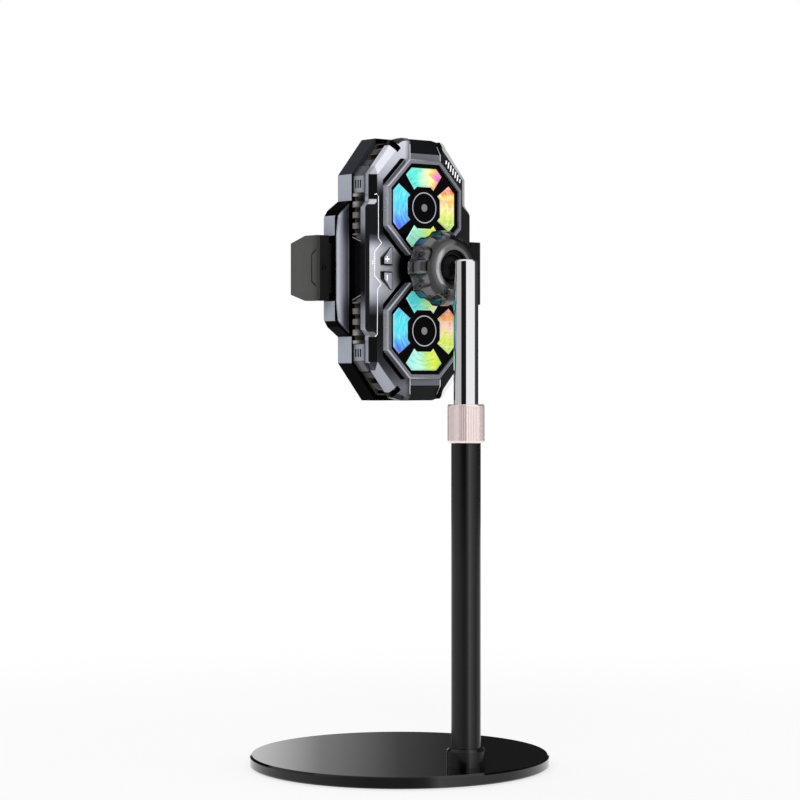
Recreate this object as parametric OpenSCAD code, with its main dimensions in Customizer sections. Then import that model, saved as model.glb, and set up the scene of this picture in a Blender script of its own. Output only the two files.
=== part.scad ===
// Phone cooling fan on a desk stand: a twin-fan cooler for a phone, a ball joint and a telescopic pole.
// The base stands on Z = 0 with its centre at the origin. The fans face -Y, the phone sits on the +Y side
// and X = 0 is the cooler's plane of symmetry. Sizes are in millimetres.

/* [Stand] */
// Diameter of the base disc
base_d = 120; // [112:2:150]
// Height of the base with its pad
base_h = 5; // [4.5:0.5:8]
// Distance of the pole's axis from the base's centre
pole_offset = 41; // [41:0.5:46]
// Outer diameter of the lower tube
lower_tube_d = 11.5; // [10.5:0.1:12.5]
// Height of the lower tube's top edge
lower_tube_top = 134; // [110:2:140]
// Length of the upper tube
upper_tube_len = 140; // [125:5:160]
// Wall of both tubes
tube_wall = 0.8; // [0.6:0.1:1]
// Outer diameter of the foot that holds the lower tube
foot_d = 15; // [14.6:0.2:20]
// Height of the foot
foot_h = 7; // [5:0.5:12]
// Outer diameter of the lock collar
collar_d = 14.4; // [14:0.2:17]
// Height of the lock collar
collar_h = 15; // [12:0.5:20]

/* [Ball joint] */
// Diameter of the ball
ball_d = 14.4; // [13:0.2:15.2]
// Distance of the ball's centre in front of the cooler's face
ball_reach = 14.2; // [13.8:0.1:15]
// Diameter of the stud behind the ball
stud_d = 4.4; // [3.4:0.1:5]
// Thickness of the liners round the ball
liner_t = 0.9; // [0.6:0.1:1]
// Diameter across the lobes of the lock nut
nut_d = 30; // [28:0.5:34]
// Number of lobes on the lock nut
nut_lobes = 8; // [5:1:9]

/* [Cooler] */
// Height of the cooler's centre above the table
cooler_z = 198.6; // [185:0.2:215]
// Half of the cooler's height
half_h = 52; // [49:0.5:58]
// Half of the width across the flats of a fan rim
rim_r = 19; // [17:0.2:19]
// Height of a fan rim above the front face
rim_h = 3.1; // [2.6:0.1:3.6]
// Wall of the rear housing
rear_wall = 1.8; // [1.4:0.1:1.9]
// Thickness of one cooling fin
fin_t = 2.2; // [1:0.1:2.6]
// Distance from fin to fin
fin_pitch = 4.2; // [3.6:0.1:6]
// Number of blades on an impeller
blade_count = 9; // [5:1:11]

/* [Clamp] */
// Width of the phone that the jaws hold in the photographed pose
phone_w = 75.4; // [75.4:0.2:84]
// Thickness of the rubber pads on the jaws
jaw_pad_t = 0.6; // [0.4:0.1:1.2]
// Half of the jaw's height at its foot
jaw_half_h = 12.8; // [11:0.2:16]
// Reach of the jaws behind the contact pad
jaw_reach = 10; // [8:0.2:14]

/* [Hidden] */
$fn = 96;
fit = 0.05;
gap = 0.3;

// Widths of the shells, and the fans' place, which follows the cooler's height
rear_w = 27;
wing_w = rear_w + 7;
front_w = rear_w - 0.4;
front_narrow_w = front_w - 2.2;
rim_to_middle = 5.4;
fan_offset = rim_r + rim_to_middle;
pinion_teeth = 12;

// Levels along Y, from the phone to the fans
contact_y = 7.7;
pad_t = 0.5;
plate_back_y = contact_y - pad_t;
rear_back_y = 5.5;
rear_front_y = -3.1;
wing_front_y = -2.0;
gap_w = 5.5;
front_back_y = rear_front_y - gap_w;
bevel_y = front_back_y - 3.0;
face_y = bevel_y - 1.7;
face_t = 1.3;
rim_y = face_y - rim_h;
cover_back_y = face_y - 0.9;
cover_y = cover_back_y - 1.2;
window_y = cover_y - 0.4;

// Layers inside the rear housing
module_back_y = 1.6;
module_front_y = -1.6;
sink_base_y = module_front_y - 0.1;
fin_recess = 0.6;
fin_front_y = front_back_y + 0.2;

// Stand
pole_y = -pole_offset;
pad_rim = 4;
base_pad_t = 1.5;
base_recess = 1.0;
base_pad_r = base_d / 2 - pad_rim;
lower_bore_r = lower_tube_d / 2 - tube_wall;
tube_clearance = 0.15;
upper_r = lower_bore_r - tube_clearance;
upper_bore_r = upper_r - tube_wall;
plug_h = 14;
screw_r = 2.5;
screw_head_r = 4.5;
screw_head_h = 1.4;
bush_h = collar_h - 5;
bush_r = lower_tube_d / 2;
collar_z = lower_tube_top - 3.7;
cap_h = 1.2;
pole_top = cooler_z + 2.9;
tube_top = pole_top - cap_h;
tube_bottom = tube_top - upper_tube_len;
ring_flange_h = 4;
ring_spigot_h = 8;
head_plug_h = 14;

// Ball joint
ball_y = face_y - ball_reach;
ball_r = ball_d / 2;
stud_r = stud_d / 2;
liner_in_r = ball_r + fit;
liner_out_r = liner_in_r + liner_t;
socket_in_r = liner_out_r + fit;
rear_liner_edge = 2.6;
front_liner_near = 1.4;
front_liner_far = 5.0;
finger_end = front_liner_far + 0.3;
finger_r = socket_in_r + 2.0;
neck_r = 6.6;
neck_len = rim_h + 0.5;
socket_slots = 4;
slot_w = 1.2;
flange_half = 7.8;
flange_t = 1.4;
socket_screw_x = 5.7;
nut_bore_r = finger_r + 0.06;
nut_core_r = nut_bore_r + 1.6;
nut_back = socket_in_r - 3.2;
nut_front = finger_end + 0.2;
nut_lip_t = 1.4;
nut_open_r = 7.0;
nut_lip_r = 8.9;
lobe_w = 6.6;
lobe_top_w = 4.4;

// Outlines in the XZ plane, first quadrant, from the side to the top
wing_h = 20.2;
wing_step_w = wing_w - 1.8;
wing_step_h = wing_h + 2.8;
wing_top = wing_h + 6.6;
shoulder_z = half_h - 14.9;
rear_top_w = rear_w - 12;
rear_quarter = [[wing_w, wing_h], [wing_step_w, wing_step_h], [rear_w, wing_top],
    [rear_w, shoulder_z], [rear_top_w, half_h]];
core_quarter = [[rear_w, shoulder_z], [rear_top_w, half_h]];
front_step_z = 23.8;
front_quarter = [[front_w, front_step_z], [front_narrow_w, front_step_z + 2.6],
    [front_narrow_w, shoulder_z - 0.2], [front_narrow_w - 9.9, half_h - 3.2],
    [front_narrow_w - 11.2, half_h - 1.2], [front_narrow_w - 15.9, half_h]];
face_quarter = [[front_w - 0.9, front_step_z - 1.2], [front_narrow_w - 2.8, front_step_z + 2.6],
    [front_narrow_w - 2.8, shoulder_z - 0.6], [front_narrow_w - 12.8, half_h - 4.4],
    [front_narrow_w - 13.8, half_h - 2.6], [front_narrow_w - 16.4, half_h - 1.4]];
face_over = 0.5;
beyond_quarter = front_quarter
    + (bevel_y - face_y + face_over) / (bevel_y - face_y) * (face_quarter - front_quarter);
panel_left = -5.3;
panel_right = 11;
panel_z = half_h - 5.9;
panel_y = front_back_y - 1.0;

// Clamp
phone_half = phone_w / 2;
jaw_in_x = phone_half + jaw_pad_t;
jaw_out_x = jaw_in_x + 3.9;
jaw_tip_y = contact_y + jaw_reach;
jaw_skin = 1.1;
arm_out_x = jaw_out_x - jaw_skin;
arm_block_x = wing_w + 2.6;
arm_front_y = -1.3;
arm_back_y = 4.0;
neck_half_h = 9.8;
neck_front_y = -0.3;
neck_back_y = 3.4;
arm_in_x = 18;
screw_x = arm_out_x - 1.5;
gear_module = 0.5;
pinion_r = gear_module * pinion_teeth / 2;
pinion_z = 19;
rack_back_y = neck_back_y;
rack_front_y = 1.4;
rack_addendum = 0.32;
rack_dedendum = 0.62;
tooth_slack = 0.06;
rack_bar_h = 1.5;
rack_reach = 10.5;
rack_top_z = pinion_z + pinion_r + rack_dedendum + rack_bar_h;
leg_corner = 2.4;
leg_x = 18.6;
leg_w = 2.9;
axle_r = 1.0;
pitch = PI * gear_module;
base_r = pinion_r * cos(20);
tip_r = pinion_r + gear_module * 0.9;
root_r = pinion_r - rack_addendum - 0.18;
spring_r = 1.75;
wire_r = 0.22;
spring_turns = 3;
ring_steps = 24;
jaw_taper = 2.8;
jaw_round = 0.9;
lip_reach = 1.9;
mark_w = 0.45;
mark_d = 0.3;

// Buttons
button_quarter_x = [-20.3, -15.7, -14.9];
button_z = [1.3, 4.2, 8.2];
button_proud = 1.0;
button_gap = 0.15;
button_lip = 0.5;

// Fans
duct_r = rim_r - 4.8;
impeller_r = duct_r - 0.5;
hub_r = 6.2;
hub_wall = 0.6;
impeller_back_y = front_back_y - 0.4;
impeller_front_y = cover_back_y + 1.0;
shaft_r = 0.75;
rim_wall = 1.7;
hub_ring_r = 6.15;
hub_ring_w = 0.4;
window_outline = rim_r / 19 * [[6.3, 15.7], [9.2, 12.8], [4.9, 6.9], [3.5, 8.2]];

trim_arc_r = 160;
blade_arc_r = 7;
blade_t = 0.6;

// Cold plate, fins, and what closes the gap between the housings
plate_w = 20;
plate_h = 27;
plate_post = 13;
fin_half_z = 13.2;
panel_t = 1.2;
vent_low = 29.8;
fin_out_x = rear_w - fin_recess;
panel_in_x = fin_out_x - panel_t;
vent_in_x = rear_w - 2.3;
fin_quarter = [[panel_in_x - gap, fin_half_z], [fin_out_x, fin_half_z], [fin_out_x, vent_low - gap],
    [vent_in_x - gap, vent_low - gap], [vent_in_x - gap, shoulder_z - 0.8], [rear_top_w - 0.8, half_h - 2.4]];

// Channels and slots in the front housing
channel_w = 2.4;
channel_d = 0.9;
hatch_count = 7;
hatch_pitch = 1.19;
hatch_x = front_narrow_w - 11;
hatch_z = half_h - 8.6;
hatch_lean = 8;
hatch_w = 0.8;
hatch_len = 2.6;
hatch_end_len = 1.5;

// Electronics
board_half_h = 9.2;
board_y = front_back_y - 0.3;
board_t = 0.9;
switch_h = 0.95;
switch_x = -17;
switch_z = 3.9;
usb_w = 9;
usb_t = 3.2;
usb_len = 6.8;
usb_shelf = 1.1;

// Screws of the housing
pillar_x = rear_top_w - 3.5;
pillar_z = half_h - 5.1;
pillar_r = 2.4;
m2_r = 1.0;
m2_head_r = 1.9;
m2_head_h = 1.4;

// Outline helpers
function reversed(p) = [for (i = [len(p) - 1:-1:0]) p[i]];

// A whole outline, counter-clockwise, from the points of its first quadrant
function whole(q) = concat(q, [for (p = reversed(q)) [-p[0], p[1]]],
    [for (p = q) [-p[0], -p[1]]], [for (p = reversed(q)) [p[0], -p[1]]]);

function outward(a, b) = [b[1] - a[1], a[0] - b[0]] / norm(b - a);

// The outline moved inwards by d, square to each of its edges
function inset(p, d) = [for (i = [0:len(p) - 1])
    let (n = len(p), m1 = outward(p[(i + n - 1) % n], p[i]), m2 = outward(p[i], p[(i + 1) % n]))
    p[i] - d * (m1 + m2) / (1 + m1 * m2)];

function octagon(r) = [for (i = [0:7]) r / cos(22.5) * [cos(22.5 + 45 * i), sin(22.5 + 45 * i)]];

// Solid helpers
// A shape of the XZ plane made solid from y_front to y_back
module slab(y_front, y_back) {
    translate([0, y_back, 0]) rotate([90, 0, 0]) linear_extrude(y_back - y_front) children();
}

// A shape of the YZ plane made solid from x_left to x_right
module cross_slab(x_left, x_right) {
    translate([x_left, 0, 0]) rotate([90, 0, 90]) linear_extrude(x_right - x_left) children();
}

// A solid through outlines of the XZ plane with equal point counts, each at its own Y, back to front
module loft(outlines, levels) {
    n = len(outlines[0]);
    last = len(outlines) - 1;
    points = [for (k = [0:last]) for (p = outlines[k]) [p[0], levels[k], p[1]]];
    sides = [for (k = [0:last - 1]) for (i = [0:n - 1])
        [k * n + i, k * n + (i + 1) % n, (k + 1) * n + (i + 1) % n, (k + 1) * n + i]];
    back = [[for (i = [0:n - 1]) i]];
    front = [[for (i = [n - 1:-1:0]) last * n + i]];
    polyhedron(points = points, faces = concat(
        [for (f = sides) reversed(f)], [for (f = back) reversed(f)], [for (f = front) reversed(f)]));
}

// A prism with its front edge chamfered by c
module chamfered(outline, y_front, y_back, c) {
    loft([outline, outline, inset(outline, c)], [y_back, y_front + c, y_front]);
}

module at_cooler() {
    translate([0, 0, cooler_z]) children();
}

// Both fans share their parts: side is 1 for the upper fan and -1 for the lower one
module at_fan(side) {
    translate([0, 0, cooler_z + side * fan_offset]) children();
}

module at_pole() {
    translate([0, pole_y, 0]) children();
}

// The ball's frame: its local +Z runs from the cooler to the pole
module at_ball() {
    translate([0, ball_y, cooler_z]) rotate([90, 0, 0]) children();
}

// Mirrored to the other side where x or z is negative
module to_side(x, z = 1) {
    mirror([x < 0 ? 1 : 0, 0, 0]) mirror([0, 0, z < 0 ? 1 : 0]) children();
}

// A round bar along Y
module bar(r, y_front, y_back, x = 0, z = 0) {
    translate([x, y_back, z]) rotate([90, 0, 0]) cylinder(r = r, h = y_back - y_front);
}

module ring(r_out, r_in, z0, z1) {
    translate([0, 0, z0]) difference() {
        cylinder(r = r_out, h = z1 - z0);
        translate([0, 0, -1]) cylinder(r = r_in, h = z1 - z0 + 2);
    }
}

// Stand
module base_disc() color([0.03, 0.03, 0.035]) difference() {
    rotate_extrude() polygon([[0, base_pad_t - base_recess], [base_d / 2 - 0.5, base_pad_t - base_recess],
        [base_d / 2, base_pad_t - base_recess + 0.5], [base_d / 2, base_h - 0.8],
        [base_d / 2 - 0.8, base_h], [0, base_h]]);
    translate([0, 0, -1]) cylinder(r = base_pad_r, h = base_pad_t + 1);
    at_pole() cylinder(r = screw_r, h = base_h + 1);
    at_pole() cylinder(r = screw_head_r, h = base_pad_t + screw_head_h);
}

module base_pad() color([0.06, 0.06, 0.065]) cylinder(r = base_pad_r, h = base_pad_t);

module pole_socket() color([0.04, 0.04, 0.045]) at_pole() translate([0, 0, base_h])
    rotate_extrude() polygon([[lower_tube_d / 2, 0], [foot_d / 2, 0], [foot_d / 2, foot_h - 1],
        [foot_d / 2 - 1, foot_h], [lower_tube_d / 2, foot_h]]);

module base_screw() color([0.6, 0.6, 0.62]) at_pole() difference() {
    union() {
        translate([0, 0, base_pad_t]) cylinder(r = screw_head_r, h = screw_head_h);
        translate([0, 0, base_pad_t]) cylinder(r = screw_r, h = base_h - base_pad_t + plug_h - 4);
    }
    translate([0, 0, base_pad_t - 1]) cylinder(r = 1.8, h = screw_head_h + 0.8, $fn = 6);
}

module lower_tube() color([0.05, 0.05, 0.055]) at_pole()
    ring(lower_tube_d / 2, lower_bore_r, base_h, lower_tube_top);

module lower_tube_plug() color([0.5, 0.5, 0.52]) at_pole()
    ring(lower_bore_r, screw_r, base_h, base_h + plug_h);

module collar_bush() color([0.85, 0.85, 0.82]) at_pole() difference() {
    ring(bush_r, upper_r + fit, lower_tube_top, lower_tube_top + bush_h);
    for (a = [0, 60, 120]) rotate(a) translate([-10, -0.5, lower_tube_top + 2]) cube([20, 1, bush_h]);
}

// The collar's knurl is a star-shaped outline with a fine tooth every few degrees
module lock_collar() color([0.72, 0.52, 0.46]) at_pole() difference() {
    union() {
        translate([0, 0, collar_z + 1.2]) linear_extrude(collar_h - 2.4)
            polygon([for (i = [0:119]) (collar_d / 2 - (i % 2) * 0.22) * [cos(3 * i), sin(3 * i)]]);
        translate([0, 0, collar_z]) cylinder(r = collar_d / 2 - 0.5, h = 1.2);
        translate([0, 0, collar_z + collar_h - 1.2]) cylinder(r = collar_d / 2 - 0.5, h = 1.2);
    }
    translate([0, 0, collar_z - 1]) cylinder(r = bush_r + fit, h = collar_h);
    cylinder(r = upper_r + gap, h = collar_z + collar_h + 1);
}

module guide_ring() color([0.9, 0.9, 0.88]) at_pole() union() {
    ring(lower_bore_r - fit, upper_bore_r - 1.2, tube_bottom - ring_flange_h, tube_bottom);
    ring(upper_bore_r - fit, upper_bore_r - 1.2, tube_bottom, tube_bottom + ring_spigot_h);
}

module upper_tube() color([0.8, 0.8, 0.82]) difference() {
    at_pole() ring(upper_r, upper_bore_r, tube_bottom, tube_top);
    bar(stud_r, pole_y, pole_y + 2 * upper_r, 0, cooler_z);
}

module head_plug() color([0.8, 0.8, 0.82]) difference() {
    at_pole() union() {
        translate([0, 0, tube_top - head_plug_h]) cylinder(r = upper_bore_r, h = head_plug_h);
        translate([0, 0, tube_top]) rotate_extrude() union() {
            square([upper_r - cap_h, cap_h]);
            intersection() {
                translate([upper_r - cap_h, 0]) circle(r = cap_h);
                square([upper_r, cap_h]);
            }
        }
    }
    bar(stud_r, pole_y - 3, pole_y + 2 * upper_r, 0, cooler_z);
}

// Ball joint
module ball_stud() color([0.12, 0.12, 0.13]) at_ball() union() {
    sphere(r = ball_r);
    translate([0, 0, ball_r - 1]) cylinder(r = stud_r, h = ball_y - pole_y + 3 - ball_r + 1);
    translate([0, 0, ball_r - 0.9]) cylinder(r1 = stud_r + 0.6, r2 = stud_r, h = 1.8);
}

module liner(y0, y1) {
    intersection() {
        difference() {
            sphere(r = liner_out_r);
            sphere(r = liner_in_r);
        }
        translate([0, 0, y0]) cylinder(r = liner_out_r + 1, h = y1 - y0);
    }
}

module ball_seat_rear() color([0.75, 0.75, 0.72]) at_ball() liner(-liner_out_r - 1, -rear_liner_edge);

module ball_seat_front() color([0.75, 0.75, 0.72]) at_ball() liner(front_liner_near, front_liner_far);

module ball_socket() color([0.05, 0.05, 0.055]) difference() {
    at_ball() difference() {
        union() {
            translate([0, 0, -ball_reach - face_t]) cylinder(r = neck_r, h = ball_reach);
            translate([0, 0, -ball_reach + neck_len])
                cylinder(r1 = neck_r, r2 = finger_r, h = ball_reach - neck_len - nut_back - gap);
            translate([0, 0, -nut_back - gap]) cylinder(r = finger_r, h = nut_back + gap + finger_end);
            translate([-flange_half, -flange_half, -ball_reach - face_t - flange_t])
                cube([2 * flange_half, 2 * flange_half, flange_t]);
        }
        sphere(r = socket_in_r);
        translate([0, 0, finger_end - 1]) cylinder(r = sqrt(pow(socket_in_r, 2) - pow(finger_end, 2)), h = 3);
        for (i = [0:socket_slots / 2 - 1]) rotate(45 + i * 360 / socket_slots)
            translate([-finger_r - 1, -slot_w / 2, 0]) cube([2 * finger_r + 2, slot_w, finger_end + 1]);
    }
    at_cooler() for (x = [-1, 1], z = [-1, 1])
        bar(m2_r, face_y + 0.4, face_y + 4, x * socket_screw_x, z * socket_screw_x);
}

module socket_screws() color([0.62, 0.62, 0.64]) at_cooler() for (x = [-1, 1], z = [-1, 1]) {
    bar(m2_r, face_y + 0.4, face_y + face_t + flange_t, x * socket_screw_x, z * socket_screw_x);
    bar(m2_head_r - 0.2, face_y + face_t + flange_t, face_y + face_t + flange_t + 0.5,
        x * socket_screw_x, z * socket_screw_x);
}

// Eight lobes round a ring, bevelled at their front ends by the turned outline that trims them
module lock_nut() color([0.1, 0.1, 0.11]) at_ball() difference() {
    union() {
        translate([0, 0, -nut_back]) cylinder(r = nut_core_r, h = nut_back + nut_front);
        translate([0, 0, -nut_back]) rotate_extrude() polygon([[0, 0], [nut_d / 2 - 1.9, 0],
            [nut_d / 2 - 1.3, 0.6], [nut_d / 2 - 1.3, 1.8], [nut_core_r, 2.6], [0, 2.6]]);
        translate([0, 0, nut_front - 0.1]) rotate_extrude() polygon([[0, 0], [nut_core_r, 0],
            [nut_core_r, 0.4], [nut_lip_r, 1.1], [nut_lip_r, nut_lip_t + 0.1], [0, nut_lip_t + 0.1]]);
        intersection() {
            translate([0, 0, -nut_back + 1]) rotate_extrude() polygon([[0, 0], [nut_d / 2, 0],
                [nut_d / 2, nut_back + nut_front - 4], [nut_d / 2 - 2.2, nut_back + nut_front - 1],
                [0, nut_back + nut_front - 1]]);
            for (i = [0:nut_lobes - 1]) rotate(90 + i * 360 / nut_lobes)
                translate([0, 0, -nut_back + 1]) linear_extrude(nut_back + nut_front)
                    polygon([[nut_core_r - 0.6, -lobe_w / 2], [nut_d / 2 - 1.3, -lobe_w / 2],
                        [nut_d / 2, -lobe_top_w / 2], [nut_d / 2, lobe_top_w / 2],
                        [nut_d / 2 - 1.3, lobe_w / 2], [nut_core_r - 0.6, lobe_w / 2]]);
        }
    }
    translate([0, 0, -nut_back - 1]) cylinder(r = nut_bore_r, h = nut_back + nut_front + 1);
    cylinder(r = nut_open_r, h = nut_front + nut_lip_t + 1);
}

// Rear housing with its two wings
module rear_housing() color([0.16, 0.165, 0.18]) difference() {
    at_cooler() difference() {
        union() {
            difference() {
                slab(rear_front_y, rear_back_y) polygon(whole(core_quarter));
                slab(rear_front_y - 1, rear_back_y - rear_wall) polygon(inset(whole(core_quarter), rear_wall));
                slab(rack_front_y - gap, rack_back_y + gap)
                    translate([-rear_w - 1, 0]) square([2 * rear_w + 2, rack_top_z + gap]);
            }
            difference() {
                slab(wing_front_y, rear_back_y) polygon(whole(rear_quarter));
                slab(wing_front_y + 1.4, rear_back_y - rear_wall) polygon(inset(whole(rear_quarter), 1.6));
                slab(wing_front_y - 1, rear_back_y - rear_wall)
                    polygon(inset(whole(core_quarter), rear_wall));
            }
            for (x = [-1, 1], z = [-1, 1])
                bar(pillar_r, rear_front_y, rear_back_y - 0.5, x * pillar_x, z * pillar_z);
            bar(axle_r + 0.8, rack_back_y + fit, rear_back_y - 0.5, 0, pinion_z);
            bar(axle_r, module_front_y + gap, rear_back_y - 0.5, 0, pinion_z);
        }
        slab(rear_back_y - rear_wall - 1, rear_back_y + 1) square(2 * (plate_post + gap), center = true);
        slab(neck_front_y - gap, neck_back_y + gap)
            square([2 * wing_w + 2, 2 * (neck_half_h + gap)], center = true);
        for (x = [-1, 1], z = [-1, 1]) {
            bar(m2_r + fit, rear_front_y - 1, rear_back_y + 1, x * pillar_x, z * pillar_z);
            bar(m2_head_r + fit, rear_back_y - m2_head_h, rear_back_y + 1, x * pillar_x, z * pillar_z);
        }
    }
}

// Aluminium plate behind the phone, with a post that reaches the cooling module
module cold_plate() color([0.72, 0.72, 0.74]) at_cooler() union() {
    slab(rear_back_y, plate_back_y) polygon(whole([[plate_w, plate_h - 3], [plate_w - 3, plate_h]]));
    slab(module_back_y, rear_back_y) square(2 * plate_post, center = true);
}

module contact_pad() color([0.3, 0.32, 0.36]) at_cooler()
    slab(plate_back_y, contact_y) polygon(whole([[plate_w - 1, plate_h - 3.4], [plate_w - 3.4, plate_h - 1]]));

module cooling_module() color([0.9, 0.9, 0.88]) at_cooler() union() {
    slab(module_back_y - 0.7, module_back_y) square(25, center = true);
    slab(module_front_y, module_front_y + 0.7) square(25, center = true);
    for (i = [0:6], k = [0:6]) slab(module_front_y + 0.7, module_back_y - 0.7)
        translate([(i - 3) * 3.4, (k - 3) * 3.4]) square(1.6, center = true);
}

// The fins' outline steps aside for the side panels in the middle and for the vent plates
module heat_sink() color([0.55, 0.55, 0.57]) at_cooler() difference() {
    union() {
        slab(rear_front_y, sink_base_y) polygon(inset(whole(core_quarter), rear_wall + gap));
        intersection() {
            union() {
                slab(fin_front_y, rear_front_y - 0.1) polygon(whole(fin_quarter));
                slab(rear_front_y - gap, rear_front_y + gap)
                    polygon(inset(whole(core_quarter), rear_wall + 2 * gap));
            }
            for (i = [-floor(half_h / fin_pitch):floor(half_h / fin_pitch)])
                translate([-rear_w, fin_front_y - 1, i * fin_pitch - fin_t / 2]) cube([2 * rear_w, 10, fin_t]);
        }
    }
    for (x = [-1, 1], z = [-1, 1])
        bar(pillar_r + gap, fin_front_y - 1, sink_base_y + 1, x * pillar_x, z * pillar_z);
    translate([-usb_w / 2 - 0.6, fin_front_y - 1, -half_h - 1])
        cube([usb_w + 1.2, rear_front_y - fin_front_y + 1, usb_len + 2.2]);
}

// Front housing
module front_housing() color([0.2, 0.2, 0.22]) at_cooler() difference() {
    union() {
        intersection() {
            loft([whole(front_quarter), whole(front_quarter), whole(beyond_quarter)],
                [front_back_y + 1, bevel_y, face_y - face_over]);
            slab(face_y, front_back_y) square(2 * half_h + 10, center = true);
        }
        for (x = [-1, 1], z = [-1, 1])
            bar(pillar_r, bevel_y, rear_front_y, x * pillar_x, z * pillar_z);
        translate([-usb_w / 2, front_back_y, -half_h + 0.4]) cube([usb_w, usb_shelf, usb_len]);
    }
    for (side = [-1, 1]) {
        bar(duct_r, face_y - 1, front_back_y + 1, 0, side * fan_offset);
        top_panel_cut(side);
        rim_channels(side);
    }
    slab(face_y + face_t, front_back_y + 1) square([2 * front_w - 5, 2 * board_half_h + 0.8], center = true);
    bar(neck_r + fit, face_y - 1, front_back_y, 0, 0);
    for (m = [1, -1]) slab(face_y - 1, front_back_y + 1)
        polygon(inset(button_outline(m), -button_gap));
    for (x = [-1, 1], z = [-1, 1])
        bar(m2_r, bevel_y + 0.5, rear_front_y + 1, x * pillar_x, z * pillar_z);
    for (x = [-1, 1], z = [-1, 1])
        bar(m2_r, face_y + 0.4, face_y + face_t + 1, x * socket_screw_x, z * socket_screw_x);
    corner_notch();
    hatch_vents();
}

// The sloping panel above the upper rim and, mirrored, below the lower one
module top_panel_cut(side) {
    run = [panel_y - face_y, half_h - panel_z];
    a = [face_y, panel_z] - 0.5 * run;
    b = [panel_y, half_h] + 0.5 * run;
    to_side(1, side) cross_slab(panel_left, panel_right)
        polygon([a, b, [a[0], b[1]]]);
}

// Sunk channels beside the four sloping sides of each rim
module rim_channels(side) {
    corner = rim_r * tan(22.5);
    translate([0, 0, side * fan_offset]) for (x = [-1, 1], z = [-1, 1])
        to_side(x, z) slab(face_y - 1, face_y + channel_d) polygon([[rim_r, corner + 0.2],
            [rim_r + 0.2, corner + 0.2], [rim_r + 0.2, corner + channel_w],
            [corner + channel_w, rim_r + 0.2], [corner + 0.2, rim_r + 0.2], [corner + 0.2, rim_r]]);
}

// Small notches where the upper and lower corner facets meet the sloping panels
module corner_notch() {
    for (z = [-1, 1]) to_side(1, z)
        translate([-front_narrow_w + 10.6, face_y - 1, half_h - 2.3]) rotate([0, 46, 0])
            translate([-4, 0, -1.2]) cube([8, 3.4, 2.4]);
}

// Slanted slots in the facet at the upper right corner
module hatch_vents() {
    for (i = [0:hatch_count - 1]) let (l = i % (hatch_count - 1) == 0 ? hatch_end_len : hatch_len)
        translate([hatch_x + i * hatch_pitch, face_y - 1, hatch_z - i * hatch_pitch])
            rotate([0, hatch_lean, 0]) translate([-hatch_w / 2, 0, -l / 2]) cube([hatch_w, 1 + channel_d, l]);
}

// Fan rims, covers and lights
module fan_rim(side) {
    at_fan(side) difference() {
        chamfered(octagon(rim_r), rim_y, face_y, 0.5);
        slab(rim_y - 1, cover_back_y) polygon(octagon(rim_r - rim_wall));
        bar(duct_r + 0.6, rim_y - 1, face_y + 1, 0, 0);
        bar(neck_r + 2 * fit, rim_y - 1, face_y + 1, 0, -side * fan_offset);
    }
}
module upper_rim() color([0.45, 0.45, 0.48]) fan_rim(1);
module lower_rim() color([0.45, 0.45, 0.48]) fan_rim(-1);

function window_points() = concat(window_outline, [for (p = reversed(window_outline)) [-p[0], p[1]]]);

module fan_cover(side) {
    at_fan(side) difference() {
        slab(cover_y, cover_back_y) polygon(octagon(rim_r - rim_wall - fit));
        for (i = [0:3]) rotate([0, 90 * i, 0]) slab(cover_y - 1, cover_back_y + 1) polygon(window_points());
    }
}
module upper_fan_cover() color([0.03, 0.03, 0.035]) fan_cover(1);
module lower_fan_cover() color([0.03, 0.03, 0.035]) fan_cover(-1);

module fan_windows(side) {
    at_fan(side) for (i = [0:3]) rotate([0, 90 * i, 0])
        chamfered(reversed(window_points()), window_y, cover_back_y, 0.5);
}
module upper_windows() color([0.35, 0.85, 0.9]) fan_windows(1);
module lower_windows() color([0.35, 0.85, 0.9]) fan_windows(-1);

module light_ring(side) {
    at_fan(side) {
        difference() {
            bar(duct_r + 0.5, cover_back_y, cover_back_y + 0.6);
            bar(duct_r - 1.6, cover_back_y - 1, cover_back_y + 2);
        }
        for (i = [0:11]) rotate([0, 30 * i, 0])
            translate([duct_r - 0.9, cover_back_y + 0.4, -0.6]) cube([0.9, 0.5, 1.2]);
    }
}
module upper_light_ring() color([0.9, 0.9, 0.88]) light_ring(1);
module lower_light_ring() color([0.9, 0.9, 0.88]) light_ring(-1);

// Bearing tube, base and a six-pole stator behind the cover's hub
module fan_motor(side) {
    at_fan(side) difference() {
        union() {
            bar(hub_r - 1, cover_back_y, cover_back_y + 0.6);
            bar(1.6, cover_back_y, impeller_back_y - 1.2);
            for (i = [0:5]) rotate([0, 60 * i, 0])
                translate([1, cover_back_y + 1.4, -0.6]) cube([3.6, 2.2, 1.2]);
            difference() {
                bar(hub_r - hub_wall - 0.5, cover_back_y + 1.4, cover_back_y + 3.6);
                bar(hub_r - hub_wall - 1.3, cover_back_y + 1, cover_back_y + 4);
            }
        }
        bar(shaft_r + fit, cover_back_y + 0.2, 0);
    }
}
module upper_motor() color([0.6, 0.42, 0.26]) fan_motor(1);
module lower_motor() color([0.6, 0.42, 0.26]) fan_motor(-1);

// A plain ring and a dot where the cover carries its mark
module hub_ring(side) {
    at_fan(side) {
        difference() {
            bar(hub_ring_r, cover_y - 0.25, cover_y);
            bar(hub_ring_r - hub_ring_w, cover_y - 1, cover_y + 1);
        }
        bar(1.5, cover_y - 0.25, cover_y);
    }
}
module upper_hub_ring() color([0.8, 0.8, 0.82]) hub_ring(1);
module lower_hub_ring() color([0.8, 0.8, 0.82]) hub_ring(-1);

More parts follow.
